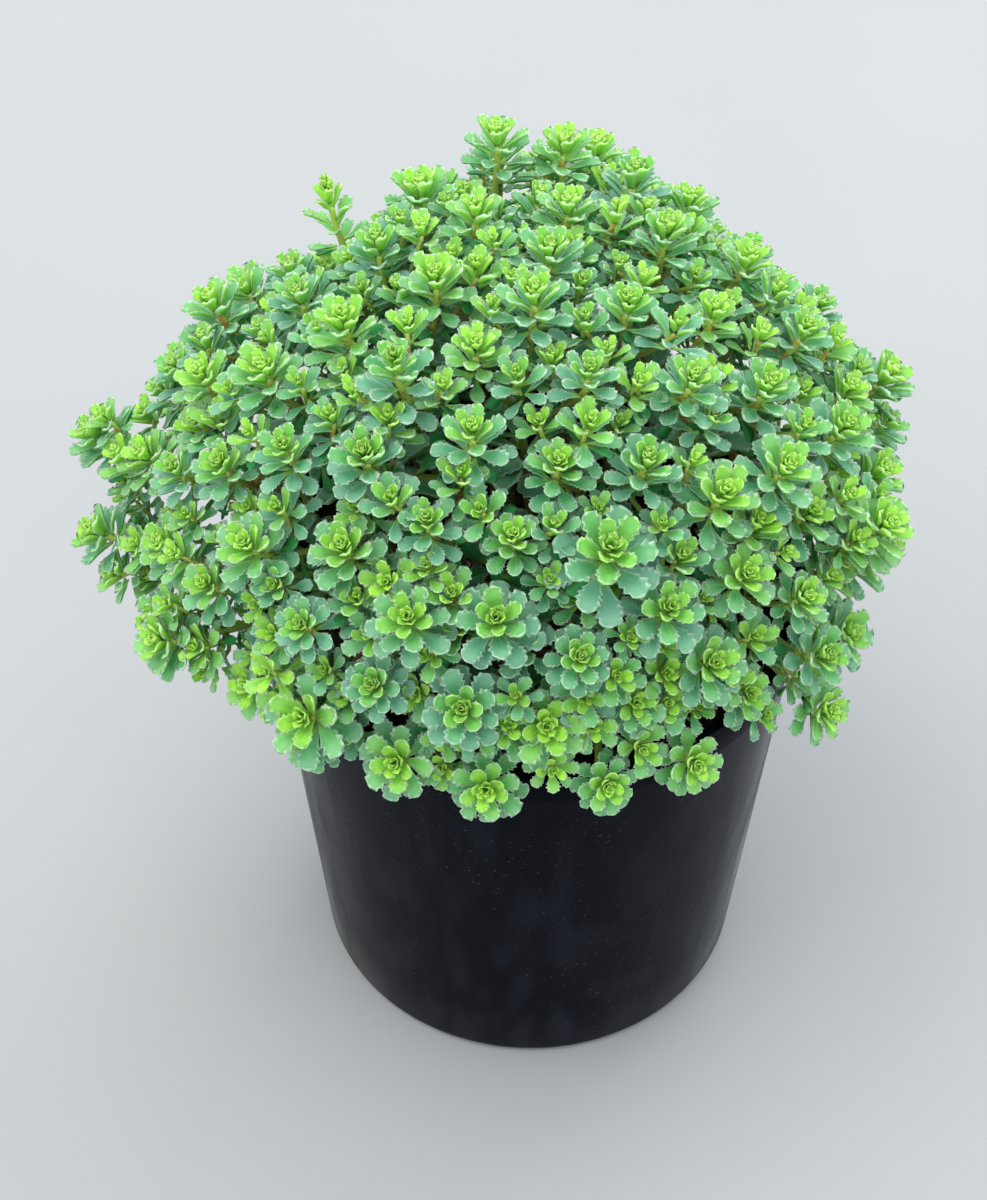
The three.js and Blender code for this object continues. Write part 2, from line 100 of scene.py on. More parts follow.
light = {
    "sky": (0.86, 0.93, 1.0),
    "skyStrength": 1.74,
    "softboxes": [
        {
            "name": "keySoftbox",
            "place": (-0.6, -0.2, 1.8),
            "size": 1.3,
            "power": 14.5,
            "tint": (1.0, 0.98, 0.94),
        },
        {
            "name": "backSoftbox",
            "place": (0.7, 1.1, 1.4),
            "size": 1.0,
            "power": 12,
            "tint": (0.92, 0.97, 1.0),
        },
    ],
}


def makeLight():
    world = bpy.data.worlds.new("studio")
    world.use_nodes = True
    sky = world.node_tree.nodes["Background"]
    sky.inputs["Color"].default_value = (*light["sky"], 1)
    sky.inputs["Strength"].default_value = light["skyStrength"]
    bpy.context.scene.world = world
    for box in light["softboxes"]:
        data = bpy.data.lights.new(box["name"], "AREA")
        data.size = box["size"]
        data.energy = box["power"]
        data.color = box["tint"]
        lamp = addThing(box["name"], data)
        lamp.location = box["place"]
        aim = Vector(box["place"]) - Vector(camera["target"])
        lamp.rotation_euler = aim.to_track_quat("Z", "Y").to_euler()


makeCamera()
makeLight()
bpy.context.scene.view_settings.view_transform = "Standard"
print("camera and light ready")


# helpers for shader nodes
def link(tree, a, b):
    tree.links.new(a, b)


def node(tree, kind, **values):
    made = tree.nodes.new(kind)
    for key, value in values.items():
        setattr(made, key, value)
    return made


def mathNode(tree, operation, a, b=None, c=None, clamp=False):
    made = node(tree, "ShaderNodeMath", operation=operation, use_clamp=clamp)
    for socket, value in zip(made.inputs, (a, b, c)):
        if value is None:
            continue
        if isinstance(value, (int, float)):
            socket.default_value = value
        else:
            link(tree, value, socket)
    return made.outputs[0]


def times(tree, a, b):
    return mathNode(tree, "MULTIPLY", a, b)


def mixColor(tree, factor, a, b):
    made = node(tree, "ShaderNodeMix", data_type="RGBA")
    for socket, value in ((made.inputs["Factor"], factor), (made.inputs[6], a), (made.inputs[7], b)):
        if isinstance(value, (int, float)):
            socket.default_value = value
        elif isinstance(value, tuple):
            socket.default_value = (*value, 1)
        else:
            link(tree, value, socket)
    return made.outputs[2]


def mapRange(tree, value, low, high, toLow=0.0, toHigh=1.0):
    made = node(tree, "ShaderNodeMapRange", interpolation_type="SMOOTHSTEP")
    link(tree, value, made.inputs["Value"])
    for key, number in (("From Min", low), ("From Max", high), ("To Min", toLow), ("To Max", toHigh)):
        made.inputs[key].default_value = number
    return made.outputs["Result"]


def noise(tree, vector, scale, detail=2.0, roughness=0.5):
    made = node(tree, "ShaderNodeTexNoise")
    link(tree, vector, made.inputs["Vector"])
    made.inputs["Scale"].default_value = scale
    made.inputs["Detail"].default_value = detail
    made.inputs["Roughness"].default_value = roughness
    return made.outputs["Fac"]


def stretchedPlace(tree, upright):
    made = node(tree, "ShaderNodeMapping")
    link(tree, node(tree, "ShaderNodeTexCoord").outputs["Object"], made.inputs["Vector"])
    made.inputs["Scale"].default_value = (1.0, 1.0, upright)
    return made.outputs["Vector"]


def ramp(tree, value, stops):
    made = node(tree, "ShaderNodeValToRGB")
    link(tree, value, made.inputs["Fac"])
    while len(made.color_ramp.elements) < len(stops):
        made.color_ramp.elements.new(0.5)
    for element, (place, color) in zip(made.color_ramp.elements, stops):
        element.position = place
        element.color = (*color, 1)
    return made.outputs["Color"]


def trait(tree, name):
    return node(tree, "ShaderNodeAttribute", attribute_name=name, attribute_type="GEOMETRY").outputs["Fac"]


# fine grain for most of the materials: a mask that goes light and dark, and a height for bump
grainLook = {
    "coarseDetail": 3.0,
    "fineDetail": 2.0,
    "coarseHeight": 0.4,
}


def makeGrainGroup():
    tree = bpy.data.node_groups.new("fineGrain", "ShaderNodeTree")
    for way, names in (("INPUT", ("Coarse Scale", "Fine Scale")), ("OUTPUT", ("Mask", "Height"))):
        for name in names:
            tree.interface.new_socket(name, in_out=way, socket_type="NodeSocketFloat")
    given = node(tree, "NodeGroupInput")
    result = node(tree, "NodeGroupOutput")
    place = node(tree, "ShaderNodeTexCoord").outputs["Object"]
    clouds = []
    for key, detail in (("Coarse Scale", "coarseDetail"), ("Fine Scale", "fineDetail")):
        cloud = node(tree, "ShaderNodeTexNoise")
        link(tree, place, cloud.inputs["Vector"])
        link(tree, given.outputs[key], cloud.inputs["Scale"])
        cloud.inputs["Detail"].default_value = grainLook[detail]
        clouds.append(cloud.outputs["Fac"])
    link(tree, clouds[0], result.inputs["Mask"])
    coarse = times(tree, clouds[0], grainLook["coarseHeight"])
    height = mathNode(tree, "ADD", coarse, clouds[1])
    link(tree, height, result.inputs["Height"])
    return tree


grainGroup = makeGrainGroup()


def addGrain(tree, coarse, fine):
    made = node(tree, "ShaderNodeGroup", node_tree=grainGroup)
    made.inputs["Coarse Scale"].default_value = coarse
    made.inputs["Fine Scale"].default_value = fine
    return made.outputs["Mask"], made.outputs["Height"]


def newMaterial(name, **sockets):
    material = bpy.data.materials.new(name)
    material.use_nodes = True
    shader = material.node_tree.nodes["Principled BSDF"]
    for key, value in sockets.items():
        shader.inputs[key.replace("_", " ")].default_value = value
    return material, material.node_tree, shader


def paint(tree, shader, look, color, height):
    link(tree, color, shader.inputs["Base Color"])
    made = node(tree, "ShaderNodeBump")
    for key, value in zip(("Strength", "Distance"), look["bump"]):
        made.inputs[key].default_value = value
    link(tree, height, made.inputs["Height"])
    link(tree, made.outputs["Normal"], shader.inputs["Normal"])


traitNames = ("age", "along", "across", "tone", "under")


# A leaf's colours go by its age, from 0 in the bud to 1 in the outer ring. Leaves deep in the
# clump are given ages past 1 as painted shade, which keeps them at the darkest green without a pale
# tip or margin. Its tone says how blue the rosette is, from yellow-green at 1 to blue at -1.
leafSkinLook = {
    "upper": [
        # the bud's own lime, raised further as painted light for the light shining through the cup's leaves
        (0.0, (0.39, 0.80, 0.075)),
        (0.12, (0.31, 0.65, 0.055)),
        (0.3, (0.24, 0.54, 0.062)),
        (0.5, (0.20, 0.51, 0.085)),
        (0.75, (0.11, 0.39, 0.10)),
        # the oldest leaves' own dark green, made darker still as painted shade for the leaves deep in the
        # clump
        (1.0, (0.026, 0.24, 0.062)),
    ],
    "under": [
        (0.0, (0.34, 0.67, 0.06)),
        (0.5, (0.26, 0.55, 0.065)),
        (1.0, (0.12, 0.37, 0.095)),
    ],
    "root": (0.33, 0.62, 0.07),
    "rootReach": 0.42,
    "bloom": (0.165, 0.40, 0.285),
    "bloomShare": 0.7,
    "grooveAndShade": (0.10, 0.30, 0.07),
    "grooveShadeShare": 0.3,
    "tip": (0.37, 0.575, 0.38),
    "tipShares": (0.08, 0.34),
    "marginTintAndSheen": (0.545, 0.71, 0.55),
    "youngMargin": (0.55, 0.81, 0.22),
    "marginShares": (0.6, 0.68),
    "blush": (0.55, 0.30, 0.10),
    "blushShare": 0.2,
    "toneShift": -0.25,
    "unevenness": 0.36,
    "deepShadeAges": (1.15, 1.3),
    "deepShadePaleness": 0.1,
    "roughness": (0.33, 0.48),
    "grainScales": (420.0, 2600.0),
    "bump": (0.5, 0.0004),
}


def makeLeafSkin():
    look = leafSkinLook
    material, tree, shader = newMaterial(
        "leafSkin",
        Subsurface_Weight=0.3,
        Subsurface_Scale=0.003,
        Subsurface_Radius=(0.45, 1.0, 0.25),
        Specular_IOR_Level=0.26,
    )
    age, along, across, tone, under = (trait(tree, t) for t in traitNames)
    side = mathNode(tree, "ABSOLUTE", across)
    edge = mathNode(tree, "MAXIMUM", mapRange(tree, side, 0.7, 1.0), mapRange(tree, along, 0.92, 1.0))
    mask, height = addGrain(tree, *look["grainScales"])
    uneven = mathNode(tree, "MULTIPLY_ADD", mask, look["unevenness"], -look["unevenness"] / 2)
    aged = mathNode(tree, "ADD", age, times(tree, tone, look["toneShift"]), clamp=True)
    aged = mathNode(tree, "ADD", aged, uneven, clamp=True)
    top = ramp(tree, aged, look["upper"])
    below = ramp(tree, aged, look["under"])
    # blue-grey bloom on the old leaves of the bluer rosettes
    blue = times(tree, mapRange(tree, tone, 0.6, -0.8), mapRange(tree, age, 0.35, 0.9))
    top = mixColor(tree, times(tree, blue, look["bloomShare"]), top, look["bloom"])
    color = mixColor(tree, under, top, below)
    # a shallow groove down the middle, deeper towards the root and darkened there as painted shade, and
    # yellow-green towards the root
    grooveAndShade = times(tree, mapRange(tree, side, 0.3, 0.0), mapRange(tree, along, 0.85, 0.35))
    color = mixColor(tree, times(tree, grooveAndShade, look["grooveShadeShare"]), color, look["grooveAndShade"])
    color = mixColor(tree, mapRange(tree, along, look["rootReach"], 0.0), color, look["root"])
    # painted shade: leaves deep in the clump stay dark, without a pale tip or margin
    outOfDeepShade = mapRange(tree, age, *look["deepShadeAges"], 1.0, look["deepShadePaleness"])
    # the outer part of a grown leaf is paler, and whitened further as a painted sheen
    grown = mapRange(tree, age, 0.25, 0.8, *look["tipShares"])
    tipAndSheenMask = times(tree, mapRange(tree, along, 0.5, 1.0), grown)
    color = mixColor(tree, times(tree, tipAndSheenMask, outOfDeepShade), color, look["tip"])
    # a pale margin, yellow on young leaves and whitish on old ones; the whitish margin is partly a painted
    # highlight
    rim = times(tree, edge, mapRange(tree, age, 0.05, 0.6, *look["marginShares"]))
    marginAndSheenColor = mixColor(tree, mapRange(tree, age, 0.1, 0.5), look["youngMargin"], look["marginTintAndSheen"])
    color = mixColor(tree, times(tree, rim, outOfDeepShade), color, marginAndSheenColor)
    # a touch of orange here and there on the youngest margins
    pink = times(tree, mapRange(tree, edge, 0.7, 1.0), mapRange(tree, age, 0.35, 0.05))
    pink = times(tree, pink, mapRange(tree, mask, 0.45, 0.62, 0.0, look["blushShare"]))
    color = mixColor(tree, pink, color, look["blush"])
    link(tree, mapRange(tree, mask, 0.3, 0.7, *look["roughness"]), shader.inputs["Roughness"])
    paint(tree, shader, look, color, mathNode(tree, "SUBTRACT", times(tree, height, 0.5), grooveAndShade))
    return material


stemSkinLook = {
    "colors": [
        (0.0, (0.10, 0.065, 0.03)),
        (0.45, (0.10, 0.15, 0.04)),
        (0.8, (0.21, 0.34, 0.06)),
        (1.0, (0.37, 0.52, 0.07)),
    ],
    "orange": (0.46, 0.20, 0.06),
    "orangeShares": (0.2, 0.8),
    "grainScales": (260.0, 1800.0),
    "bump": (0.35, 0.0006),
}


def makeStemSkin():
    look = stemSkinLook
    material, tree, shader = newMaterial("stemSkin", Roughness=0.5, Specular_IOR_Level=0.4)
    along, tone = trait(tree, "along"), trait(tree, "tone")
    mask, height = addGrain(tree, *look["grainScales"])
    color = ramp(tree, along, look["colors"])
    sunny = mapRange(tree, tone, 0.1, 0.9, *look["orangeShares"])
    warm = times(tree, mapRange(tree, mask, 0.42, 0.66), sunny)
    color = mixColor(tree, warm, color, look["orange"])
    paint(tree, shader, look, color, height)
    return material


potPlasticLook = {
    "black": (0.0008, 0.0014, 0.0040),
    "filmAndReflection": (0.0065, 0.0082, 0.0135),
    "filmShare": 0.6,
    "streakScale": 55.0,
    "streakStretch": 0.16,
    "patchScale": 14.0,
    "smearAndReflection": (0.0125, 0.0142, 0.022),
    "smearScale": 84.0,
    "smearStretch": 0.36,
    "smearHeights": (0.03, 0.17),
    "smearShares": (0.4, 0.1),
    "dust": (0.07, 0.067, 0.062),
    "speckScale": 900.0,
    "roughness": (0.12, 0.3),
    "bump": (0.35, 0.0012),
}


def makePotPlastic():
    look = potPlasticLook
    material, tree, shader = newMaterial("potPlastic", Specular_IOR_Level=0.036)
    place = node(tree, "ShaderNodeTexCoord").outputs["Object"]
    streaks = noise(tree, stretchedPlace(tree, look["streakStretch"]), look["streakScale"], 4.0, 0.55)
    patches = noise(tree, place, look["patchScale"])
    specks = noise(tree, place, look["speckScale"], 1.0)
    # a thin grey film in upright streaks, partly dust and partly painted reflection
    filmy = mapRange(tree, patches, 0.4, 0.65, 0.2, 1.0)
    filmAndReflection = times(tree, mapRange(tree, streaks, 0.46, 0.72), filmy)
    color = mixColor(tree, times(tree, filmAndReflection, look["filmShare"]), look["black"], look["filmAndReflection"])
    # soft upright smears, thicker low down on the pot: partly a dust film, partly painted reflections of
    # the surroundings
    apart = node(tree, "ShaderNodeSeparateXYZ")
    link(tree, place, apart.inputs["Vector"])
    thick = mapRange(tree, apart.outputs["Z"], *look["smearHeights"], *look["smearShares"])
    blots = noise(tree, stretchedPlace(tree, look["smearStretch"]), look["smearScale"], 1.0)
    smearsAndReflections = times(tree, mapRange(tree, blots, 0.42, 0.7), thick)
    color = mixColor(tree, smearsAndReflections, color, look["smearAndReflection"])
    # specks of dust
    dusty = mapRange(tree, patches, 0.42, 0.6, 0.1, 0.6)
    grit = times(tree, mapRange(tree, specks, 0.71, 0.76), dusty)
    color = mixColor(tree, grit, color, look["dust"])
    worn = mapRange(tree, streaks, 0.35, 0.7, *look["roughness"])
    rough = mathNode(tree, "ADD", worn, times(tree, grit, 0.4))
    link(tree, rough, shader.inputs["Roughness"])
    waves = mathNode(tree, "ADD", streaks, times(tree, patches, 2.0))
    paint(tree, shader, look, color, waves)
    return material


mixCrumbLook = {
    "colors": [
        (0.0, (0.012, 0.009, 0.007)),
        (0.5, (0.045, 0.028, 0.018)),
        (1.0, (0.13, 0.08, 0.045)),
    ],
    "perlite": (0.62, 0.60, 0.55),
    "grainScales": (160.0, 1100.0),
    "bump": (0.8, 0.0015),
}


# tone is 0 to 0.9 on bark, from dark to light, and 2 or more on perlite
def makeMixCrumb():
    look = mixCrumbLook
    material, tree, shader = newMaterial("mixCrumb", Roughness=0.92, Specular_IOR_Level=0.3)
    mask, height = addGrain(tree, *look["grainScales"])
    tone = trait(tree, "tone")
    cloudy, toned = times(tree, mask, 0.8), times(tree, tone, 0.5)
    mixed = mathNode(tree, "ADD", cloudy, toned)
    color = ramp(tree, mapRange(tree, mixed, 0.25, 0.95), look["colors"])
    color = mixColor(tree, mapRange(tree, tone, 1.4, 1.6), color, look["perlite"])
    paint(tree, shader, look, color, height)
    return material


floorLook = {
    "size": 30,
    "colors": [
        (0.3, (0.345, 0.340, 0.332)),
        (0.7, (0.355, 0.350, 0.342)),
    ],
    "grainScales": (6.0, 220.0),
    "bump": (0.08, 0.0005),
}


def makeFloorPaint():
    look = floorLook
    material, tree, shader = newMaterial("floorPaint", Roughness=0.75, Specular_IOR_Level=0.25)
    mask, height = addGrain(tree, *look["grainScales"])
    paint(tree, shader, look, ramp(tree, mask, look["colors"]), height)
    return material


leafSkin, stemSkin = makeLeafSkin(), makeStemSkin()
potPlastic, mixCrumb, floorPaint = makePotPlastic(), makeMixCrumb(), makeFloorPaint()
print("materials ready")


# helpers for modelling in edit mode
def pickWhere(mode, test):
    bpy.ops.object.mode_set(mode="EDIT")
    bpy.ops.mesh.select_mode(type=mode)
    bpy.ops.mesh.select_all(action="DESELECT")
    mesh = bmesh.from_edit_mesh(bpy.context.object.data)
    parts = {"VERT": mesh.verts, "EDGE": mesh.edges, "FACE": mesh.faces}[mode]
    for part in parts:
        part.select = test(part)
    mesh.select_flush_mode()
    bmesh.update_edit_mesh(bpy.context.object.data)


def pickAll():
    pickWhere("VERT", lambda v: True)


def leaveEdit():
    bpy.ops.object.mode_set(mode="OBJECT")


def addCylinder(sides, radius, low, high):
    bpy.ops.mesh.primitive_cylinder_add(
        vertices=sides, radius=radius, depth=high - low, location=(0, 0, (low + high) / 2)
    )
    bpy.ops.object.transform_apply(location=True)
    return bpy.context.object


# a scratch piece's points and faces, after which the piece goes
def takeParts(piece):
    points = np.array([v.co for v in piece.data.vertices])
    faces = [tuple(p.vertices) for p in piece.data.polygons]
    bpy.data.objects.remove(piece)
    return points, faces


def settle(piece):
    bpy.context.view_layer.objects.active = piece
    for modifier in list(piece.modifiers):
        bpy.ops.object.modifier_apply(modifier=modifier.name)
    piece.data.transform(piece.matrix_world)
    piece.matrix_world = Matrix.Identity(4)


def seat(piece, replaced):
    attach(piece, "root")
    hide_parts(replaced)
    bpy.ops.object.select_all(action="DESELECT")


bpy.ops.mesh.primitive_plane_add(size=floorLook["size"], location=(0, 0, 0))
floor = bpy.context.object
floor.name = "studioFloor"
floor.data.materials.append(floorPaint)
bpy.ops.object.select_all(action="DESELECT")


pot = {
    "height": 0.187,
    "topRadius": 0.0975,
    "baseRadius": 0.081,
    "wall": 0.0018,
    "floor": 0.0026,
    "lipHeight": 0.014,
    "lipStep": 0.0011,
    "lipFlare": 0.0003,
    "lipRound": 0.0005,
    "lipBevelSteps": 3,
    "lipEdge": 0.006,  # the edges across the lip are shorter than this
    "heel": 0.004,
    "footWidth": 0.006,
    "footStep": 0.001,
    "sides": 144,
    # heights of the rings from the underside, and of those at the lip from the lip's foot
    "rings": (0.0004, 0.0012, 0.0024, 0.004, 0.03, 0.07, 0.11, 0.15),
    "lipRings": (-0.0005, 0, 0.00035, 0.0007, 0.0011, 0.0016),
    "drainCount": 5,
    "drainRadius": 0.006,
    "drainCircle": 0.060,
    "drainSides": 24,
    "drillLength": 0.02,
    "smoothBelow": radians(40),
}


def potWallRadius(z):
    top = pot["topRadius"] - pot["lipStep"]
    return pot["baseRadius"] + (top - pot["baseRadius"]) * z / pot["height"]


def potOutside(z):
    heel, lipFoot = pot["heel"], pot["height"] - pot["lipHeight"]
    if z < heel:
        return potWallRadius(z) - heel * (1 - sqrt(max(0.0, 1 - (1 - z / heel) ** 2)))
    if z <= lipFoot:
        return potWallRadius(z)
    rise = min(1.0, (z - lipFoot) / pot["lipStep"])
    full = between((pot["topRadius"] - pot["lipFlare"], pot["topRadius"]), (z - lipFoot) / pot["lipHeight"])
    return between((potWallRadius(lipFoot), full), rise * rise * (3 - 2 * rise))


def addPotProfile(shell):
    lipFoot = pot["height"] - pot["lipHeight"]
    for z in [*pot["rings"], *(lipFoot + step for step in pot["lipRings"])]:
        pickAll()
        bpy.ops.mesh.bisect(plane_co=(0, 0, z), plane_no=(0, 0, 1))
        leaveEdit()
    for v in shell.data.vertices:
        side = hypot(v.co.x, v.co.y)
        grow = potOutside(min(pot["height"], max(0.0, v.co.z))) / side
        v.co.x *= grow
        v.co.y *= grow


# the mouth is one wall's width in, then down to the floor
def hollowPot():
    height, wall = pot["height"], pot["wall"]
    pickWhere("FACE", lambda f: f.normal.z > 0.9 and f.calc_center_median().z > height - touching)
    bpy.ops.mesh.inset(thickness=wall + pot["topRadius"] - potWallRadius(height))
    bpy.ops.mesh.extrude_region_move(TRANSFORM_OT_translate={"value": (0, 0, pot["floor"] - height)})
    shrink = (pot["baseRadius"] - wall) / (potWallRadius(height) - wall)
    bpy.ops.transform.resize(value=(shrink, shrink, 1), center_override=(0, 0, pot["floor"]))
    leaveEdit()


def addFootRing():
    pickWhere("FACE", lambda f: f.normal.z < -0.9 and f.calc_center_median().z < touching)
    bpy.ops.mesh.inset(thickness=pot["footWidth"])
    bpy.ops.transform.translate(value=(0, 0, pot["footStep"]))
    leaveEdit()


def onLip(edge):
    high = all(v.co.z > pot["height"] - touching for v in edge.verts)
    return high and edge.calc_length() < pot["lipEdge"]


def roundLip():
    pickWhere("EDGE", onLip)
    bpy.ops.mesh.bevel(offset=pot["lipRound"], segments=pot["lipBevelSteps"], profile=0.5)
    leaveEdit()


def drillPot(shell):
    for k in range(pot["drainCount"]):
        turn = fullTurn * (k + 0.5) / pot["drainCount"]
        bpy.ops.mesh.primitive_cylinder_add(
            vertices=pot["drainSides"],
            radius=pot["drainRadius"],
            depth=pot["drillLength"],
            location=(pot["drainCircle"] * cos(turn), pot["drainCircle"] * sin(turn), 0),
        )
        drill = bpy.context.object
        cut = shell.modifiers.new("drain", "BOOLEAN")
        cut.operation = "DIFFERENCE"
        cut.object = drill
        bpy.context.view_layer.objects.active = shell
        bpy.ops.object.modifier_apply(modifier=cut.name)
        bpy.data.objects.remove(drill)


def makePot():
    shell = addCylinder(pot["sides"], pot["baseRadius"], 0, pot["height"])
    shell.name = "potShell"
    addPotProfile(shell)
    hollowPot()
    addFootRing()
    roundLip()
    drillPot(shell)
    settle(shell)
    bpy.ops.object.select_all(action="DESELECT")
    shell.select_set(True)
    bpy.ops.object.shade_smooth_by_angle(angle=pot["smoothBelow"])
    shell.data.materials.append(potPlastic)
    seat(shell, "pot")
    print("pot:", len(shell.data.polygons), "faces")


makePot()


# A heap gathers the copies of one piece: leaves and stems, or bark and perlite.
def newHeap():
    return {"points": [], "faces": [], "skins": [], "count": 0, **{t: [] for t in traitNames}}


def addCopy(heap, points, faces, skin, traits):
    start = heap["count"]
    heap["points"].append(points)
    heap["faces"].extend([tuple(start + k for k in face) for face in faces])
    heap["skins"].append(np.full(len(faces), skin, np.int32))
    for t in traitNames:
        heap[t].append(np.broadcast_to(np.asarray(traits.get(t, 0.0), float), (len(points),)))
    heap["count"] += len(points)


def heapToPiece(name, heap, materials):
    mesh = bpy.data.meshes.new(name)
    mesh.from_pydata(np.concatenate(heap["points"]) * mm, [], heap["faces"])
    for t in traitNames:
        layer = mesh.attributes.new(t, "FLOAT", "POINT")
        layer.data.foreach_set("value", np.concatenate(heap[t]).astype(np.float32))
    for material in materials:
        mesh.materials.append(material)
    mesh.polygons.foreach_set("material_index", np.concatenate(heap["skins"]))
    mesh.polygons.foreach_set("use_smooth", np.ones(len(mesh.polygons), bool))
    mesh.validate()
    mesh.update()
    return addThing(name, mesh)


# Each leaf is 1 long from its root at the origin to its tip on +Y, upper face towards +Z. Wide and
# narrow rows take turns along the outer half, which makes the rounded teeth.
leafCommon = {
    "columns": [-1.0, -0.5, 0.5, 1.0],
    "thickness": 0.085,
    "rim": 1.0,
}
innerRows = [0, 0.30, 0.52, 0.63, 0.675, 0.78, 0.83, 0.925, 1.0]
leafShapes = {
    "broad": {
        "rows": [0, 0.28, 0.48, 0.565, 0.605, 0.685, 0.725, 0.80, 0.84, 0.90, 0.955, 1.0],
        "halfWidths": [0.05, 0.075, 0.135, 0.205, 0.155, 0.25, 0.19, 0.255, 0.18, 0.20, 0.15, 0.06],
        "cup": 0.1,
    },
    "oval": {
        "rows": [0, 0.28, 0.50, 0.60, 0.64, 0.735, 0.78, 0.87, 0.94, 1.0],
        "halfWidths": [0.05, 0.075, 0.14, 0.215, 0.165, 0.25, 0.18, 0.21, 0.155, 0.06],
        "cup": 0.11,
        "thickness": 0.09,
    },
    "slim": {
        "rows": [0, 0.30, 0.52, 0.62, 0.66, 0.755, 0.80, 0.90, 1.0],
        "halfWidths": [0.05, 0.07, 0.12, 0.19, 0.14, 0.22, 0.155, 0.18, 0.07],
        "cup": 0.09,
    },
    "fan": {
        "rows": innerRows,
        "halfWidths": [0.055, 0.10, 0.16, 0.228, 0.168, 0.262, 0.178, 0.20, 0.075],
        "cup": 0.12,
        "thickness": 0.09,
    },
    "cup": {
        "rows": innerRows,
        "halfWidths": [0.09, 0.14, 0.18, 0.23, 0.165, 0.255, 0.17, 0.19, 0.075],
        "cup": 0.12,
        "thickness": 0.10,
    },
    "young": {
        "rows": [0, 0.38, 0.60, 0.71, 0.84, 1.0],
        "halfWidths": [0.12, 0.18, 0.31, 0.18, 0.29, 0.12],
        "columns": [-1.0, 0.0, 1.0],
        "cup": 0.12,
        "thickness": 0.13,
    },
    "hidden": {
        "rows": [0, 0.42, 0.70, 0.88, 1.0],
        "halfWidths": [0.055, 0.12, 0.23, 0.19, 0.08],
        "columns": [-1.0, 0.0, 1.0],
        "cup": 0.08,
        "thickness": 0.08,
        "rim": 0.85,
    },
}

leafMaking = {
    "bladeRows": (0, 0.5, 0.75, 0.9, 1.0),  # rows that set the width of the blade inside its teeth
    "bladeWidth": 0.95,
    "cupPower": 1.5,
    "cupFrom": 0.2,
    "cupOver": 0.5,
    "tipRound": 0.03,
    "taper": 0.35,
    "underBelow": -0.2,
    "mergeWithin": 0.0005,
}


def modelLeaf(name, look):
    rows, columns, halfWidths = look["rows"], look["columns"], look["halfWidths"]
    across, lengthways = len(columns) - 1, len(rows) - 1
    bpy.ops.mesh.primitive_grid_add(x_subdivisions=across, y_subdivisions=lengthways, size=1)
    leaf = bpy.context.object
    leaf.name = name
    bladeRows = leafMaking["bladeRows"]
    bladeWidths = np.interp(rows, bladeRows, np.interp(bladeRows, rows, halfWidths))
    flesh = leaf.vertex_groups.new(name="flesh")
    sides, along = [], []
    for v in leaf.data.vertices:
        column = round((v.co.x + 0.5) * across)
        row = round((v.co.y + 0.5) * lengthways)
        s, t = columns[column], rows[row]
        onSide, last = abs(s) == 1, row == lengthways
        wide = halfWidths[row] if onSide else leafMaking["bladeWidth"] * bladeWidths[row]
        cupped = min(1.0, max(0.0, (t - leafMaking["cupFrom"]) / leafMaking["cupOver"]))
        rise = look["cup"] * abs(s) ** leafMaking["cupPower"] * cupped
        v.co = (s * wide, t - (leafMaking["tipRound"] if last and onSide else 0), rise)
        sides.append(s * look["rim"])
        along.append(t)
        thin = onSide or last or row == 0
        flesh.add([v.index], 0.0 if thin else 1 - leafMaking["taper"] * t, "REPLACE")
    for key, values in (("across", sides), ("along", along)):
        leaf.data.attributes.new(key, "FLOAT", "POINT").data.foreach_set("value", values)
    plump = leaf.modifiers.new("plump", "SOLIDIFY")
    plump.thickness = look["thickness"]
    plump.offset = -1
    plump.vertex_group = "flesh"
    plump.use_rim = True
    settle(leaf)
    pickAll()
    bpy.ops.mesh.remove_doubles(threshold=leafMaking["mergeWithin"])
    bpy.ops.mesh.normals_make_consistent(inside=False)
    leaveEdit()
    mesh = leaf.data
    shape = {key: np.array([a.value for a in mesh.attributes[key].data]) for key in ("across", "along")}
    shape["under"] = np.array([float(n.vector.z < leafMaking["underBelow"]) for n in mesh.vertex_normals])
    shape["points"], shape["faces"] = takeParts(leaf)
    print("leaf shape", name, len(shape["faces"]), "faces")
    return shape


leaves = {name: modelLeaf(name, {**leafCommon, **look}) for name, look in leafShapes.items()}


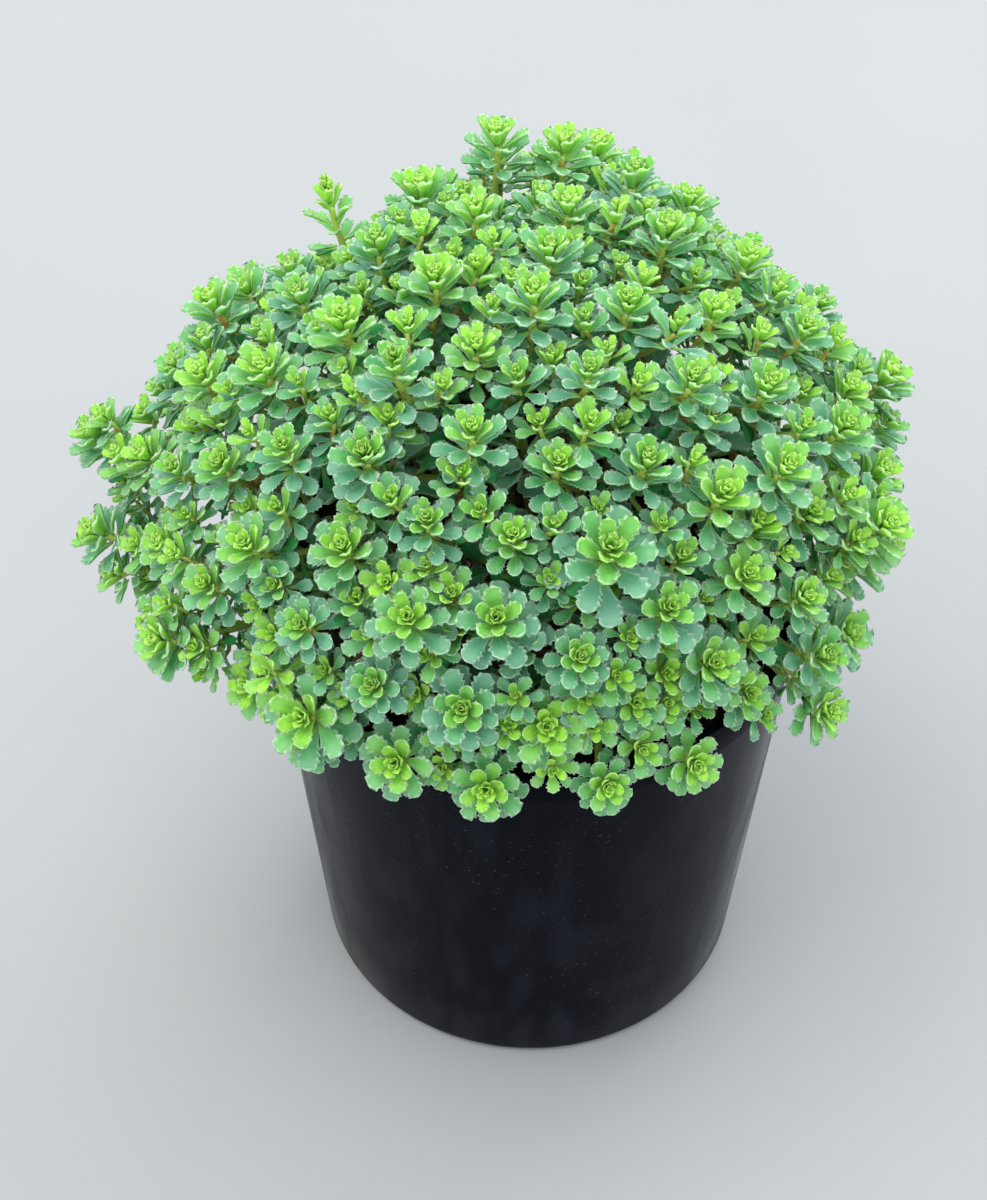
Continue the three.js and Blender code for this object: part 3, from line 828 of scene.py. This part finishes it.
# The growing rule, in millimetres. It is the rule that the solids grow by.
clump = {
    "domeCentre": np.array((-8.0, 17.0, 194.0)),
    "domeRadii": np.array((131.0, 119.0, 125.0)),
    "domeSquareness": 2.1,
    # way round and lean of its middle, how far it lifts the dome and how wide it is, in degrees
    "domeHills": [
        (122, 55, -23, 28),
        (86, 36, 14, 17),
        (172, 80, 6, 18),
        (225, 89, -8, 14),
        (305, 92, -6, 10),
        (340, 92, -4, 14),
        (40, 57, -6, 20),
    ],
    "domeLowest": radians(91),
    "domeWander": 0.35,
    "domeUneven": 8,
    "domeSettling": 14,
    "domeSpread": 1.2,
    "domePush": 0.2,
    "axisLeans": (0.2, 0.6),
    "rosettes": 122,
    "rosetteSizes": (0.85, 1.15),
    "rosetteOverhang": 10,
    "rosetteLow": 12,
    "rosetteDepth": 3.6,
    "branches": 48,
    "potHeight": 187,
    "potTopRadius": 97.5,
    "mixTop": 172,
    "feetRadius": 77,
    "footDepth": 11.7,
    "standHeight": 8,
    "forkShare": 0.68,
    "forkLowest": 212,
    "forkReach": 84,
    "forkStep": 8,
    "forkRoom": 14,
    "kneeLength": 9,
    "rimClearance": 7,
    "whorlThickness": 2.6,
    "whorlBelowFork": 5,
    # way round, lean from the top, distance out of the dome, size
    "shoots": [
        (287, 52, 1, 1.3),
        (233, 28, 4, 1.15),
        (146, 34, 15, 0.9),
        (179, 75, 14, 1),
        (187, 86, 12, 1.05),
        (209, 87, 9, 1.05),
        (238, 83, 7, 1.2),
        (230, 79, 6, 0.8),
        (7, 68, 9, 1.15),
        (338, 71, 10, 1.1),
        (322, 94, 9, 0.9),
        (266, 90, 3, 1),
        (284, 90, 3, 0.85),
        (322, 83, 5, 1),
        (95, 25, 8, 1),
        (39, 37, 3, 0.95),
        (171, 50, 6, 1),
        (69, 38, 1, 1),
        (312, 50, 1, 1.2),
        (267, 60, 1, 1.2),
    ],
}


def unit(v):
    return v / norm(v)


def frameOf(axis):
    u = unit(np.cross((0.0, 0.0, 1.0), axis)) if abs(axis[2]) < 0.9999 else np.array((1.0, 0.0, 0.0))
    return u, np.cross(axis, u)


def around(u, v, turn):
    return cos(turn) * u + sin(turn) * v


def onCircle(side, turn, height):
    return np.array((side * cos(turn), side * sin(turn), height))


def direction(lean, turn):
    return np.array((sin(lean) * cos(turn), sin(lean) * sin(turn), cos(lean)))


def domeReach(d):
    radii, q = clump["domeRadii"], clump["domeSquareness"]
    across = hypot(d[0] / radii[0], d[1] / radii[1]) ** q
    reach = (across + abs(d[2] / radii[2]) ** q) ** (-1 / q)
    for turn, lean, lift, width in clump["domeHills"]:
        far = norm(d - direction(radians(lean), radians(turn)))
        reach += lift * math.exp(-((far / radians(width)) ** 2))
    return reach


def spiralWay(i, count):
    lean = acos(1 - (i + 0.5) / count * (1 - cos(clump["domeLowest"])))
    return lean, i * goldenTurn


def domeSpacing():
    return sqrt(2 * pi * (1 - cos(clump["domeLowest"])) / clump["rosettes"])


def makeWays():
    shoots, total = clump["shoots"], clump["rosettes"]
    spacing = domeSpacing()
    reach = clump["domeSpread"] * spacing
    ways = [direction(radians(s[1]), radians(s[0])) for s in shoots]
    i = 0
    while len(ways) < total:
        lean, turn = spiralWay(i, total - len(shoots))
        wander = [(draw(i, k) - 0.5) * 2 * clump["domeWander"] * spacing for k in (1, 2)]
        ways.append(direction(lean + wander[0], turn + wander[1] / sin(lean)))
        i += 1
    ways = np.array(ways)
    lowest = cos(clump["domeLowest"])
    for _ in range(clump["domeSettling"]):
        apart = ways[:, None] - ways[None]
        far = norm(apart, axis=2)
        near = (far > 0) & (far < reach)
        pull = np.where(near, (reach - far) / np.where(far > 0, far, 1), 0)
        push = (apart * pull[..., None]).sum(1)
        for i in range(len(shoots), total):
            ways[i] = unit(ways[i] + push[i] * clump["domePush"])
            if ways[i][2] < lowest:
                ways[i][2] = lowest
                ways[i] = unit(ways[i])
    return ways


def pushPastRim(place, room):
    side = hypot(place[0], place[1])
    edge = clump["potTopRadius"] + room
    if place[2] < clump["potHeight"] + clump["rosetteLow"] and side < edge:
        place[:2] *= edge / side
    return place


# shoots stand nearly upright at the top and lean out at the sides
def leaningAxis(way):
    lean = acos(way[2])
    share = between(clump["axisLeans"], lean / (pi / 2))
    return direction(lean * share, math.atan2(way[1], way[0]))


def makeSites():
    sites = []
    for i, way in enumerate(makeWays()):
        out = jitter(clump["domeUneven"], i, 3)
        size = drawIn(clump["rosetteSizes"], i, 4)
        if i < len(clump["shoots"]):
            out, size = clump["shoots"][i][2:]
        place = way * (domeReach(way) + out) + clump["domeCentre"]
        place = pushPastRim(place, clump["rosetteOverhang"])
        sites.append({"number": i, "place": place, "way": way, "axis": leaningAxis(way), "size": size})
    return sites


def makeBranches(sites):
    branches = []
    for b in range(clump["branches"]):
        lean, turn = spiralWay(b, clump["branches"])
        way = direction(lean, turn)
        foot = np.array((cos(turn), sin(turn), 0)) * clump["feetRadius"]
        foot *= sqrt((b + 0.5) / clump["branches"])
        fork = way * domeReach(way) * clump["forkShare"] + clump["domeCentre"]
        side = hypot(fork[0], fork[1])
        if side > clump["forkReach"]:
            fork[:2] *= clump["forkReach"] / side
        fork[2] = max(fork[2], clump["forkLowest"])
        branches.append({"way": way, "foot": foot, "fork": fork, "sites": []})
    ways = np.array([b["way"] for b in branches])
    for site in sites:
        branches[int(np.argmax(ways @ site["way"]))]["sites"].append(site)
    for b in branches:
        b["sites"].sort(key=lambda s: -float(b["way"] @ s["way"]))
    return [b for b in branches if b["sites"]]


def stemLine(start, site):
    base = site["place"] - site["axis"] * clump["rosetteDepth"]
    run = unit(base - start[-1])
    knee = base - unit(run + site["axis"]) * clump["kneeLength"]
    side = hypot(base[0], base[1])
    top = clump["potHeight"] + clump["rimClearance"]
    if side > clump["potTopRadius"] and base[2] < top + clump["kneeLength"]:
        rim = clump["potTopRadius"] / side
        knee = np.array((base[0] * rim, base[1] * rim, max(top, base[2])))
    return [*start, knee, base]


def branchLines(branch):
    foot, fork = branch["foot"], branch["fork"]
    stand = np.array((foot[0], foot[1], clump["mixTop"] + clump["standHeight"]))
    down = stand - fork
    length = norm(down)
    step = min(clump["forkStep"], (length - clump["forkRoom"]) / len(branch["sites"]))
    down = down / length
    whorl = fork + down * (step * (len(branch["sites"]) - 1) + clump["whorlBelowFork"])
    low = np.array((foot[0], foot[1], clump["mixTop"] - clump["footDepth"]))
    main = stemLine([low, stand, whorl + down * clump["whorlThickness"], whorl, fork], branch["sites"][0])
    lines = [main]
    for k, site in enumerate(branch["sites"][1:]):
        lines.append(stemLine([fork + down * step * (k + 0.5)], site))
    return lines, whorl, -down


sites = makeSites()
branches = makeBranches(sites)
print("clump:", len(sites), "rosettes on", len(branches), "branches")


# Smaller shoots fill the room between the rosettes. Each is numbered from its kind's first number.
filler = {
    "sizes": (0.62, 1.0),
    "leaves": (16, 22),
    "shapes": ("oval", "slim"),
    "tone": 0.2,
    "limeShare": 0.12,
    "limeAge": 0.72,
    "reachBack": 24,
    "stemSag": 4,
    "stemEnd": 2,
    # all over the dome, as far apart as these shares of the rosettes' spacing
    "candidates": 1400,
    "betweenFirst": 200,
    "clearOfRosettes": 0.45,
    "clearOfEachOther": 0.405,
    "wander": (0.05, 0.3),
    "depth": (-2, 11),
    "overhang": 6,
    "axisJitter": 0.22,
    # companions crowd round the shoots that jut out
    "companions": 5,
    "companionFirst": 400,
    "jutting": (60, 90, 6),
    "companionWander": 0.6,
    "companionAside": (10, 17),
    "companionBack": (2, 17),
    "companionClear": 10.5,
    # the skirt hangs just outside the rim of the pot
    "skirt": 40,
    "skirtFirst": 150,
    "skirtWander": 0.4,
    "skirtOut": (3, 10),
    "skirtHeight": (5, 15),
    "skirtClear": 12,
}


def smallShoot(number, owner, place, way, axis, size):
    return {
        "number": number,
        "owner": owner["number"],
        "place": place,
        "way": way,
        "axis": axis,
        "size": between(filler["sizes"], size),
    }


def gapsAround(place, others):
    return [norm(other["place"] - place) for other in others]


def addSkirt(small):
    for i in range(filler["skirt"]):
        turn = fullTurn * (i + filler["skirtWander"] * draw(i, 27)) / filler["skirt"]
        side = clump["potTopRadius"] + drawIn(filler["skirtOut"], i, 28)
        height = clump["potHeight"] + drawIn(filler["skirtHeight"], i, 29)
        place = onCircle(side, turn, height)
        gaps = gapsAround(place, sites + small)
        if min(gaps) < filler["skirtClear"]:
            continue
        owner = sites[int(np.argmin(gaps[: len(sites)]))]
        way = unit(place - clump["domeCentre"])
        small.append(smallShoot(filler["skirtFirst"] + i, owner, place, way, leaningAxis(way), draw(i, 30)))


def addCompanions(small):
    least, most, out = filler["jutting"]
    jutting = [s for s, shoot in zip(sites, clump["shoots"]) if least < shoot[1] < most and shoot[2] >= out]
    for site in jutting:
        u, v = frameOf(site["way"])
        for k in range(filler["companions"]):
            seed = site["number"] * 11 + k
            turn = fullTurn * (k + filler["companionWander"] * draw(seed, 31)) / filler["companions"]
            aside = drawIn(filler["companionAside"], seed, 32)
            back = drawIn(filler["companionBack"], seed, 33)
            place = site["place"] + aside * around(u, v, turn) - back * site["way"]
            if min(gapsAround(place, sites + small)) < filler["companionClear"]:
                continue
            way = unit(place - clump["domeCentre"])
            number = filler["companionFirst"] + seed
            small.append(smallShoot(number, site, place, way, leaningAxis(way), draw(seed, 34)))


def addBetween(small):
    spacing = domeSpacing()
    rosetteWays = np.array([s["way"] for s in sites])
    taken = [s["way"] for s in small]
    leanWander, turnWander = filler["wander"]
    for i in range(filler["candidates"]):
        lean, turn = spiralWay(i, filler["candidates"])
        way = direction(lean + jitter(leanWander, i, 21), turn + jitter(turnWander, i, 22))
        near = norm(rosetteWays - way, axis=1)
        if near.min() < filler["clearOfRosettes"] * spacing:
            continue
        if norm(np.array(taken) - way, axis=1).min() < filler["clearOfEachOther"] * spacing:
            continue
        taken.append(way)
        deep = drawIn(filler["depth"], i, 23)
        place = pushPastRim(way * (domeReach(way) - deep) + clump["domeCentre"], filler["overhang"])
        aside = direction(pi * draw(i, 24), fullTurn * draw(i, 25))
        axis = unit(leaningAxis(way) + filler["axisJitter"] * aside)
        owner = sites[int(np.argmin(near))]
        small.append(smallShoot(filler["betweenFirst"] + i, owner, place, way, axis, draw(i, 26)))


smallShoots = []
addSkirt(smallShoots)
addCompanions(smallShoots)
addBetween(smallShoots)
print("small shoots:", len(smallShoots))


# Radii and colours run from a stem's start to its rosette. A colour of 0 is brown, 1 yellow-green.
stemLook = {
    "sides": 7,
    "step": 4.5,
    "main": {"radii": (1.9, 1.25), "colors": (0.0, 1.0)},
    "side": {"radii": (1.35, 1.1), "colors": (0.55, 1.0)},
    "small": {"radii": (0.95, 0.75), "colors": (0.6, 1.0)},
    "uneven": 0.12,
    "startSide": (0.31, 0.92, 0.2),
}


def smoothLine(points, step):
    padded = np.array([2 * points[0] - points[1], *points, 2 * points[-1] - points[-2]])
    result = []
    for k in range(1, len(padded) - 2):
        a, b, c, d = padded[k - 1 : k + 3]
        count = max(1, round(norm(c - b) / step))
        for j in range(count):
            t = j / count
            bend = (2 * a - 5 * b + 4 * c - d) * t * t
            twist = (3 * b - a - 3 * c + d) * t**3
            result.append(0.5 * (2 * b + (c - a) * t + bend + twist))
    result.append(padded[-2])
    return np.array(result)


def addStem(heap, line, kind, number, tone):
    count, sides = len(line), stemLook["sides"]
    radii, colors = kind["radii"], kind["colors"]
    ways = np.gradient(line, axis=0)
    ways /= norm(ways, axis=1)[:, None]
    side = unit(np.cross(ways[0], stemLook["startSide"]))
    angles = fullTurn * np.arange(sides) / sides
    rings = []
    for k in range(count):
        side = unit(side - ways[k] * (side @ ways[k]))
        other = np.cross(ways[k], side)
        radius = between(radii, k / (count - 1))
        radius *= 1 + jitter(stemLook["uneven"], number * 31 + k, 41)
        rings.append(line[k] + radius * (np.cos(angles)[:, None] * side + np.sin(angles)[:, None] * other))
    points = np.concatenate([*rings, [line[0]], [line[-1] + ways[-1] * radii[1]]])
    faces = []
    first, last = count * sides, count * sides + 1
    top = (count - 1) * sides
    for k in range(count - 1):
        for r in range(sides):
            s = (r + 1) % sides
            faces.append((k * sides + r, k * sides + s, (k + 1) * sides + s, (k + 1) * sides + r))
    for r in range(sides):
        s = (r + 1) % sides
        faces.append((first, s, r))
        faces.append((last, top + r, top + s))
    shares = np.repeat(np.linspace(0, 1, count), sides)
    along = np.append(between(colors, shares), colors)
    addCopy(heap, points, faces, 1, {"along": along, "tone": tone})


# A rosette from its oldest leaf at share 0 to its bud at 1: an outer ring, a middle ring, a cup and
# the bud in it. Lengths are shares of the leaf length, rises and bends are degrees.
rosetteLook = {
    "length": 12.4,
    "count": (27, 31),
    "shares": [0, 0.25, 0.3, 0.46, 0.5, 0.68, 0.71, 0.86, 1.0],
    "lengths": [0.95, 1.0, 1.0, 0.95, 0.88, 0.66, 0.46, 0.36, 0.24],
    "rises": [2, 12, 20, 34, 42, 54, 56, 64, 80],
    "heights": [-9.0, -6.2, -5.0, -3.0, -2.0, 0.0, 1.4, 2.8, 4.0],
    "ages": [1.0, 0.88, 0.8, 0.56, 0.4, 0.18, 0.1, 0.03, 0.0],
    "bends": [24, 20, 20, 18, 16, 14, 22, 16, 4],
    "core": (1.4, 0.25),
    # the share from which leaves have each shape
    "innerShapes": (("fan", 0.26), ("cup", 0.47), ("young", 0.69)),
    # how far one leaf differs from the next
    "turnJitter": 0.25,
    "riseJitter": 9,
    "bendJitter": 10,
    "toneJitter": 0.25,
    "shortest": 0.93,
    "lengthJitter": 0.14,
    "rollJitter": 0.35,
    "swayJitter": 0.16,
    "narrowest": 0.92,
    "widthJitter": 0.16,
}

# how far one rosette differs from the next: those high on the dome are steeper, longer and narrower
styleLook = {
    "riseJitter": 13,
    "riseOnTop": 8,
    "spread": 0.8,
    "spreadOnTop": 0.5,
    "tailOnTop": 3,
    "age": 0.8,
    "ageJitter": 0.3,
    "toneJitter": 1.6,
    "broadShare": 0.75,
    "broadShapes": ("broad", "oval", "broad"),
    "slimShapes": ("oval", "slim"),
    "width": 1.02,
    "widthBelow": 0.16,
}

# rosettes that stand out in the photo, by their place in the list of shoots
ownStyles = {
    0: {"count": 30, "rise": -5, "shapes": ("broad",), "tone": -0.8, "age": 1.0, "long": 1.12, "lift": 4},
    1: {"count": 32, "rise": 0, "spread": 1.7, "tone": -1.0, "age": 1.15, "shapes": ("broad",)},
    2: {"count": 26, "spread": 2.2, "tail": 7, "tone": 0.5},
    6: {"count": 22, "rise": 0, "shapes": ("broad",), "tone": 0.0, "age": 0.95, "width": 1.1, "long": 1.12},
    7: {"count": 14, "tone": 0.7, "age": 0.5},
}

# leaves down the stems, which are seen only as a dark filling between the rosettes; their age past 1
# and yellow tone are painted shade, keeping them dark green without bloom, pale tip or margin
lowerLeaves = {
    "clear": 7,
    "gap": 5.5,
    "smallClear": 6,
    "smallGap": 5,
    "gapSpread": (0.8, 0.4),
    "lowest": 0.1,
    "lengths": (0.72, 0.98),
    "rises": (-18, 24),
    "bend": 20,
    "age": 1.35,
    "tone": 0.9,
}

# the ring of large leaves at each branch's fork
whorlLook = {
    "leaves": 5,
    "first": 9000,
    "low": 3,
    "step": 1.5,
    "length": 23,
    "rise": 14,
    "bend": 24,
    "age": 1.0,
    "tone": -0.2,
}

# leaves keep out of the pot's wall and out of the mix: they are lifted and shortened until they do
leafRoom = {
    "wallInside": 93.4,
    "wallOutside": 0.8,
    "aboveWall": 0.6,
    "aboveMix": 1,
    "mixRadius": 98,
    "tries": 6,
    "liftBy": 0.2,
    "shortenBy": 0.9,
}


def potBlocks(points):
    side = np.hypot(points[:, 0], points[:, 1])
    z = points[:, 2]
    inWall = (side > leafRoom["wallInside"]) & (side < clump["potTopRadius"] + leafRoom["wallOutside"])
    inWall &= z < clump["potHeight"] + leafRoom["aboveWall"]
    inMix = (z < clump["mixTop"] + leafRoom["aboveMix"]) & (side < leafRoom["mixRadius"])
    return bool((inWall | inMix).any())


leastBend = 0.01  # radians, so that a leaf's arc always has a radius


# rolls, sways and bends a leaf, then stands it on its root: out is its way, up the rosette's axis
def leafPoints(shape, root, up, out, length, width, rise, bend, roll, sway):
    p = shape["points"]
    x, y, z = p[:, 0] * length * width, p[:, 1], p[:, 2] * length
    x, z = x * cos(roll) - z * sin(roll), x * sin(roll) + z * cos(roll)
    x = x + sway * length * y * y
    if abs(bend) < leastBend:
        bend = leastBend
    start = rise + bend / 2
    slope = start - bend * y
    along = (sin(start) - np.sin(slope)) / bend * length
    lift = (np.cos(slope) - cos(start)) / bend * length
    across = np.cross(out, up)
    place = root + np.outer(x, across) + np.outer(along - z * np.sin(slope), out)
    return place + np.outer(lift + z * np.cos(slope), up)


# rise and bend are in degrees
def addLeaf(heap, shapeName, root, up, out, seed, length, rise, bend, age, tone, width=1.0):
    look, shape = rosetteLook, leaves[shapeName]
    rise, bend = radians(rise), radians(bend)
    roll = jitter(look["rollJitter"], seed, 51)
    sway = jitter(look["swayJitter"], seed, 52)
    width = width * (look["narrowest"] + look["widthJitter"] * draw(seed, 53))
    for _ in range(leafRoom["tries"]):
        points = leafPoints(shape, root, up, out, length, width, rise, bend, roll, sway)
        if not potBlocks(points):
            break
        rise += leafRoom["liftBy"]
        length *= leafRoom["shortenBy"]
    else:
        return
    traits = {t: shape[t] for t in ("along", "across", "under")}
    addCopy(heap, points, shape["faces"], 0, {**traits, "age": age, "tone": tone})


def addRosette(heap, site, style):
    look = rosetteLook
    number, axis, size = site["number"], site["axis"], site["size"]
    u, v = frameOf(axis)
    spin = draw(number, 6) * fullTurn
    for j in range(style["count"]):
        share = j / (style["count"] - 1)
        seed = number * 67 + j
        length, rise, bend, height, age = (
            float(np.interp(share, look["shares"], look[key]))
            for key in ("lengths", "rises", "bends", "heights", "ages")
        )
        turn = spin + j * goldenTurn + jitter(look["turnJitter"], seed, 54)
        out = around(u, v, turn)
        length = look["length"] * size * style["long"] * length
        length *= look["shortest"] + look["lengthJitter"] * draw(seed, 55)
        rise = rise + style["rise"] + jitter(look["riseJitter"], seed, 56)
        bend += jitter(look["bendJitter"], seed, 57)
        height = height * size * style["spread"]
        if share < 0.5:
            height -= (0.5 - share) * 2 * style["tail"]
        root = site["place"] + axis * (height + style["lift"]) + out * between(look["core"], share)
        shapeName = style["shapes"][int(draw(seed, 58) * len(style["shapes"]))]
        for inner, start in look["innerShapes"]:
            if share > start:
                shapeName = inner
        age *= style["age"]
        tone = style["tone"] + jitter(look["toneJitter"], seed, 59)
        addLeaf(heap, shapeName, root, axis, out, seed, length, rise, bend, age, tone, style["width"])


def rosetteStyle(site):
    look, number, high = styleLook, site["number"], site["way"][2]
    top = max(0.0, high)
    style = {
        "count": round(drawIn(rosetteLook["count"], number, 61)),
        "rise": jitter(look["riseJitter"], number, 62) + look["riseOnTop"] * high,
        "spread": look["spread"] + look["spreadOnTop"] * top * draw(number, 63),
        "tail": look["tailOnTop"] * top,
        "age": look["age"] + look["ageJitter"] * draw(number, 64),
        "tone": jitter(look["toneJitter"], number, 65),
        "shapes": look["broadShapes"] if draw(number, 66) < look["broadShare"] else look["slimShapes"],
        "width": look["width"] + look["widthBelow"] * (1 - top),
        "long": 1.0,
        "lift": 0,
    }
    return {**style, **ownStyles.get(number, {})}


def smallStyle(small):
    style = rosetteStyle(small)
    style["count"] = round(drawIn(filler["leaves"], small["number"], 61))
    style["tone"] += filler["tone"]
    style["shapes"] = filler["shapes"]
    if draw(small["number"], 68) < filler["limeShare"]:
        style["age"] *= filler["limeAge"]
    return style


def addLowerLeaves(heap, line, number, size, clear, gap):
    look = lowerLeaves
    far = np.concatenate([[0], np.cumsum(norm(np.diff(line, axis=0), axis=1))])
    ways = np.gradient(line, axis=0)
    at, k = far[-1] - clear, 0
    least, spread = look["gapSpread"]
    form = [look[key] for key in ("bend", "age", "tone")]
    while at > look["lowest"] * far[-1]:
        root = np.array([np.interp(at, far, line[:, c]) for c in range(3)])
        way = unit(np.array([np.interp(at, far, ways[:, c]) for c in range(3)]))
        u, v = frameOf(way)
        seed = number * 83 + k
        turn = draw(number, 71) * looseTurn + k * goldenTurn
        out = around(u, v, turn)
        length = rosetteLook["length"] * size * drawIn(look["lengths"], seed, 72)
        rise = drawIn(look["rises"], seed, 73)
        addLeaf(heap, "hidden", root + out, way, out, seed, length, rise, *form)
        at -= gap * (least + spread * draw(seed, 74))
        k += 1


def addWhorl(heap, b, whorl, up):
    look = whorlLook
    form = [look[key] for key in ("length", "rise", "bend", "age", "tone")]
    u, v = frameOf(up)
    for j in range(look["leaves"]):
        turn = draw(b, 75) * looseTurn + j * fullTurn / look["leaves"]
        out = around(u, v, turn)
        root = whorl + up * (look["step"] * j - look["low"]) + out
        addLeaf(heap, "broad", root, up, out, look["first"] + b * 7 + j, *form)


def addSmallShoot(heap, small, stem, tone):
    back = min(len(stem) - 2, max(2, round(filler["reachBack"] / stemLook["step"])))
    start = stem[-back]
    end = small["place"] - small["axis"] * filler["stemEnd"]
    middle = (start + end) / 2 + small["axis"] * -filler["stemSag"]
    twig = smoothLine([start, middle, end], stemLook["step"])
    addStem(heap, twig, stemLook["small"], small["number"], tone)
    addRosette(heap, small, smallStyle(small))
    clear, gap = lowerLeaves["smallClear"], lowerLeaves["smallGap"]
    addLowerLeaves(heap, twig, small["number"], small["size"], clear, gap)


def growBranch(b, branch):
    heap = newHeap()
    lines, whorl, up = branchLines(branch)
    for k, (site, line) in enumerate(zip(branch["sites"], lines)):
        number, style = site["number"], rosetteStyle(site)
        tone = draw(number, 67)
        line[-1] = line[-1] + site["axis"] * style["lift"]
        stem = smoothLine(line, stemLook["step"])
        addStem(heap, stem, stemLook["side" if k else "main"], number, tone)
        addRosette(heap, site, style)
        leafy = stem if k else stem[len(stem) // 2 :]
        clear = lowerLeaves["clear"] + style["tail"]
        addLowerLeaves(heap, leafy, number, site["size"], clear, lowerLeaves["gap"])
        for small in smallShoots:
            if small["owner"] == number:
                addSmallShoot(heap, small, stem, tone)
    addWhorl(heap, b, whorl, up)
    piece = heapToPiece(f"leafyBranch{b + 1:02d}", heap, (leafSkin, stemSkin))
    seat(piece, f"leafy_branch_{b + 1:02d}")
    return len(piece.data.polygons)


faceCount = sum(growBranch(b, branch) for b, branch in enumerate(branches))
print("foliage:", faceCount, "faces")


# Bark chips and perlite beads lie on the bed. Tone 2 and more is perlite's.
mixBed = {
    "top": 0.1712,
    "floor": 0.0029,
    "gap": 0.0003,
    "sides": 96,
    "ringStep": 0.0062,
    "rings": 13,
    "roughness": 0.0016,
    "tone": 0.3,
    "edgeRoom": 0.009,
    "sunk": 0.0004,
    "tilt": 0.9,
    "toneSpread": 0.9,
    "chips": {
        "count": 520,
        "sizes": (0.003, 0.0085),
        "squash": (1.0, 0.55, 0.22),
        "tone": 0.0,
        "shapeSeed": 300,
        "first": 3000,
    },
    "perlite": {
        "count": 150,
        "sizes": (0.0016, 0.0034),
        "squash": (1.0, 0.85, 0.8),
        "tone": 2.0,
        "shapeSeed": 500,
        "first": 5000,
    },
    "grainCuts": 1,
    "grainSmooth": 0.6,
    "grainRound": 0.6,
    "grainUneven": 0.35,
}


def modelGrain(look):
    bpy.ops.mesh.primitive_cube_add(size=2)
    grain = bpy.context.object
    pickAll()
    bpy.ops.mesh.subdivide(number_cuts=mixBed["grainCuts"], smoothness=mixBed["grainSmooth"])
    leaveEdit()
    points, faces = takeParts(grain)
    points /= norm(points, axis=1)[:, None] ** mixBed["grainRound"]
    seeds = range(look["shapeSeed"], look["shapeSeed"] + len(points))
    uneven = np.array([[jitter(mixBed["grainUneven"], seed, 80 + c) for c in range(3)] for seed in seeds])
    points = (points + uneven) * np.array(look["squash"])
    return points, faces


def scatter(heap, look, reach):
    points, faces = modelGrain(look)
    for seed in range(look["first"], look["first"] + look["count"]):
        side = reach * sqrt(draw(seed, 92))
        turn = fullTurn * draw(seed, 93)
        size = drawIn(look["sizes"], seed, 94) / 2
        turned = Matrix.Rotation(looseTurn * draw(seed, 95), 3, "Z")
        tilted = Matrix.Rotation(jitter(mixBed["tilt"], seed, 96), 3, "X")
        spot = onCircle(side, turn, mixBed["top"] - mixBed["sunk"])
        placed = (points * size) @ np.array(turned @ tilted).T + spot
        tone = look["tone"] + mixBed["toneSpread"] * draw(seed, 97)
        addCopy(heap, placed / mm, faces, 0, {"tone": tone})


# a tapered plug whose top is inset ring by ring and roughened
def modelBed(topRadius):
    low, top = mixBed["floor"], mixBed["top"]
    lowRadius = pot["baseRadius"] - pot["heel"] - pot["wall"] - mixBed["gap"]
    bed = addCylinder(mixBed["sides"], topRadius, low, top)
    shrink = lowRadius / topRadius
    pickWhere("VERT", lambda v: v.co.z < low + touching)
    bpy.ops.transform.resize(value=(shrink, shrink, 1), center_override=(0, 0, low))
    leaveEdit()
    pickWhere("FACE", lambda f: f.normal.z > 0.9)
    for _ in range(mixBed["rings"]):
        bpy.ops.mesh.inset(thickness=mixBed["ringStep"])
    leaveEdit()
    for k, v in enumerate(bed.data.vertices):
        if v.co.z > top - touching:
            v.co.z -= mixBed["roughness"] * draw(k, 91)
    return takeParts(bed)


def makeMixBed():
    topRadius = potWallRadius(mixBed["top"]) - pot["wall"] - mixBed["gap"]
    points, faces = modelBed(topRadius)
    heap = newHeap()
    addCopy(heap, points / mm, faces, 0, {"tone": mixBed["tone"]})
    for kind in ("chips", "perlite"):
        scatter(heap, mixBed[kind], topRadius - mixBed["edgeRoom"])
    piece = heapToPiece("pottingMixBed", heap, (mixCrumb,))
    seat(piece, "potting_mix")
    print("potting mix:", len(piece.data.polygons), "faces")


makeMixBed()
